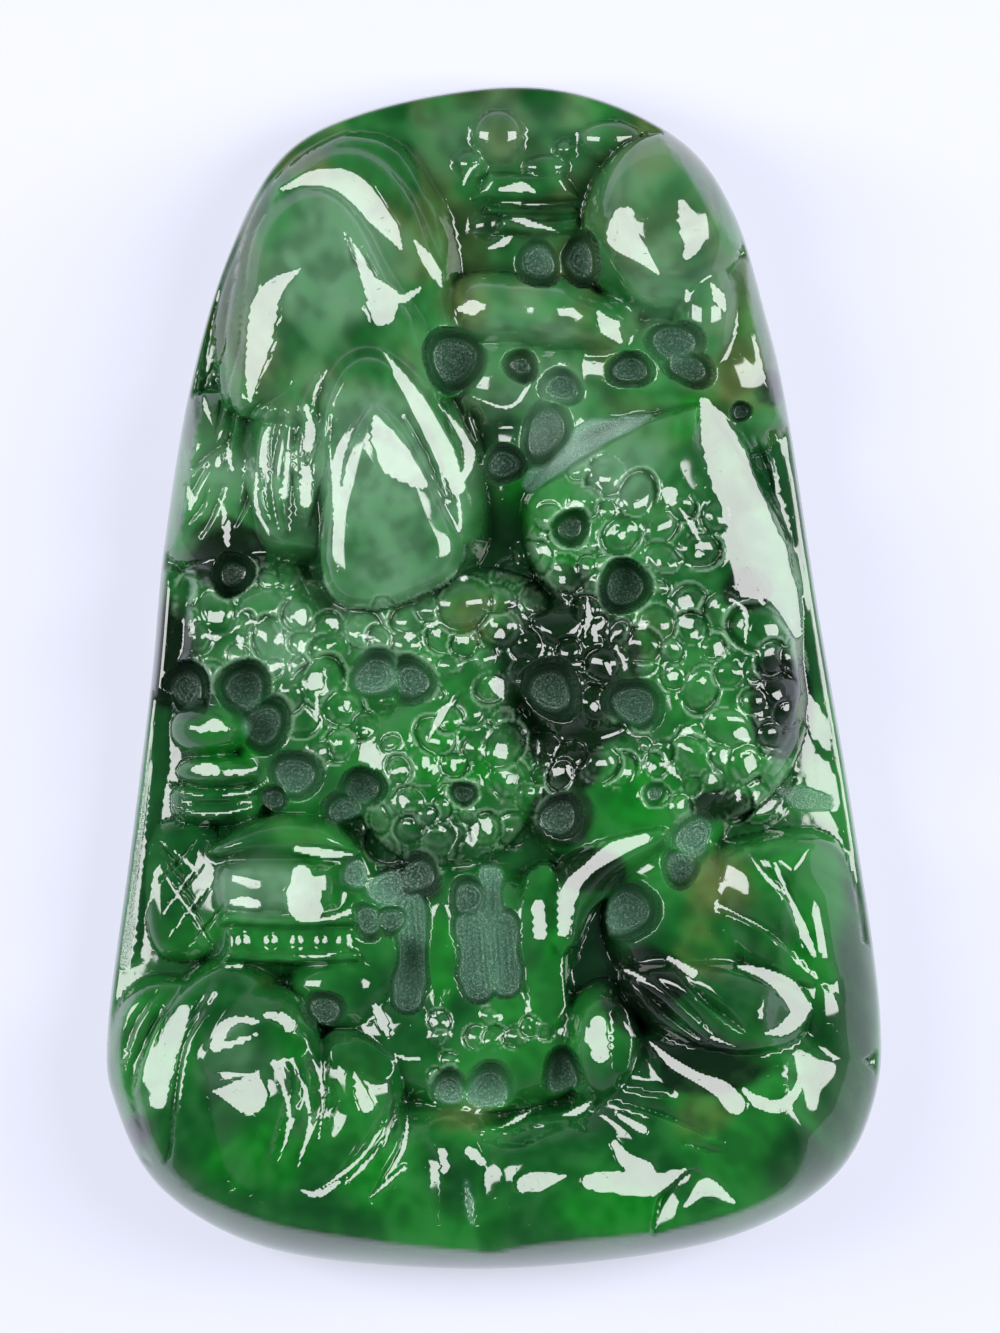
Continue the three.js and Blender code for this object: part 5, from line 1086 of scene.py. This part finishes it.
# A sheet of pale paper under the stone.
sheet = dict(half=600.0, gap=0.02, colour="#8f90a0", roughness=0.9, glow="#eef0ff", glowStrength=0.66)
floorMesh = bpy.data.meshes.new("floor")
side = sheet["half"] * mm
under = -sheet["gap"] * mm
corners = [(x * side, y * side, under) for x, y in ((-1, -1), (1, -1), (1, 1), (-1, 1))]
floorMesh.from_pydata(corners, [], [(0, 1, 2, 3)])
floor = bpy.data.objects.new("floor", floorMesh)
bpy.context.scene.collection.objects.link(floor)
paper = bpy.data.materials.new("matPaper")
paper.use_nodes = True
paperInputs = paper.node_tree.nodes["Principled BSDF"].inputs
for key, value in (("Base Color", linear(sheet["colour"])), ("Roughness", sheet["roughness"]),
                   ("Emission Color", linear(sheet["glow"])), ("Emission Strength", sheet["glowStrength"])):
    paperInputs[key].default_value = value
floorMesh.materials.append(paper)

# The camera hangs straight above, far off, with the top of the landscape up.
view = dict(x=0.3, y=0.55, far=1000.0, frameHeight=66.65, sensor=36.0, nearest=0.01)
camera = bpy.data.objects.new("camera", bpy.data.cameras.new("camera"))
bpy.context.scene.collection.objects.link(camera)
camera.location = (view["x"] * mm, view["y"] * mm, view["far"] * mm)
camera.data.sensor_width = view["sensor"]
camera.data.lens = view["sensor"] * (view["far"] - blank["edgeZ"]) / view["frameHeight"]
camera.data.clip_start = view["nearest"]
bpy.context.scene.camera = camera

# Two upright softboxes, one on each side: lean from straight up, millimetres, watts.
softboxes = dict(leftBox=dict(lean=-46, up=6, wide=100, tall=260, far=300, power=0.78),
                 rightBox=dict(lean=44, up=6, wide=120, tall=260, far=300, power=0.94))
for name, box in softboxes.items():
    light = bpy.data.lights.new(name, "AREA")
    light.shape = "RECTANGLE"
    light.size, light.size_y = box["wide"] * mm, box["tall"] * mm
    light.energy = box["power"]
    lamp = bpy.data.objects.new(name, light)
    a, e = math.radians(box["lean"]), math.radians(box["up"])
    way = Vector((math.sin(a) * math.cos(e), math.sin(e), math.cos(a) * math.cos(e)))
    lamp.location = way * box["far"] * mm
    lamp.rotation_euler = way.to_track_quat("Z", "Y").to_euler()
    bpy.context.scene.collection.objects.link(lamp)

# The room: pale around the stone, dim overhead, so faces turned up keep their colour.
room = dict(horizon="#e6e9f8", zenith="#3a3d48", dimFrom=0.15, dimFull=0.75, strength=0.55)
world = bpy.data.worlds.new("paleStudio")
bpy.context.scene.world = world
world.use_nodes = True
skyTree = world.node_tree
direction = addNode(skyTree, "ShaderNodeTexCoord", {}, {})["Generated"]
upward = addNode(skyTree, "ShaderNodeSeparateXYZ", {}, {0: direction})["Z"]
overhead = addNode(skyTree, "ShaderNodeMapRange", {}, {0: upward, 1: room["dimFrom"], 2: room["dimFull"]})[0]
sky = addNode(skyTree, "ShaderNodeMix", {"data_type": "RGBA"},
              {0: overhead, 6: linear(room["horizon"]), 7: linear(room["zenith"])})[2]
skyTree.links.new(sky, skyTree.nodes["Background"].inputs["Color"])
skyTree.nodes["Background"].inputs["Strength"].default_value = room["strength"]
bpy.context.scene.view_settings.view_transform = "Standard"

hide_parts("jade_pendant")
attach(pendant, "root")
bpy.context.view_layer.update()
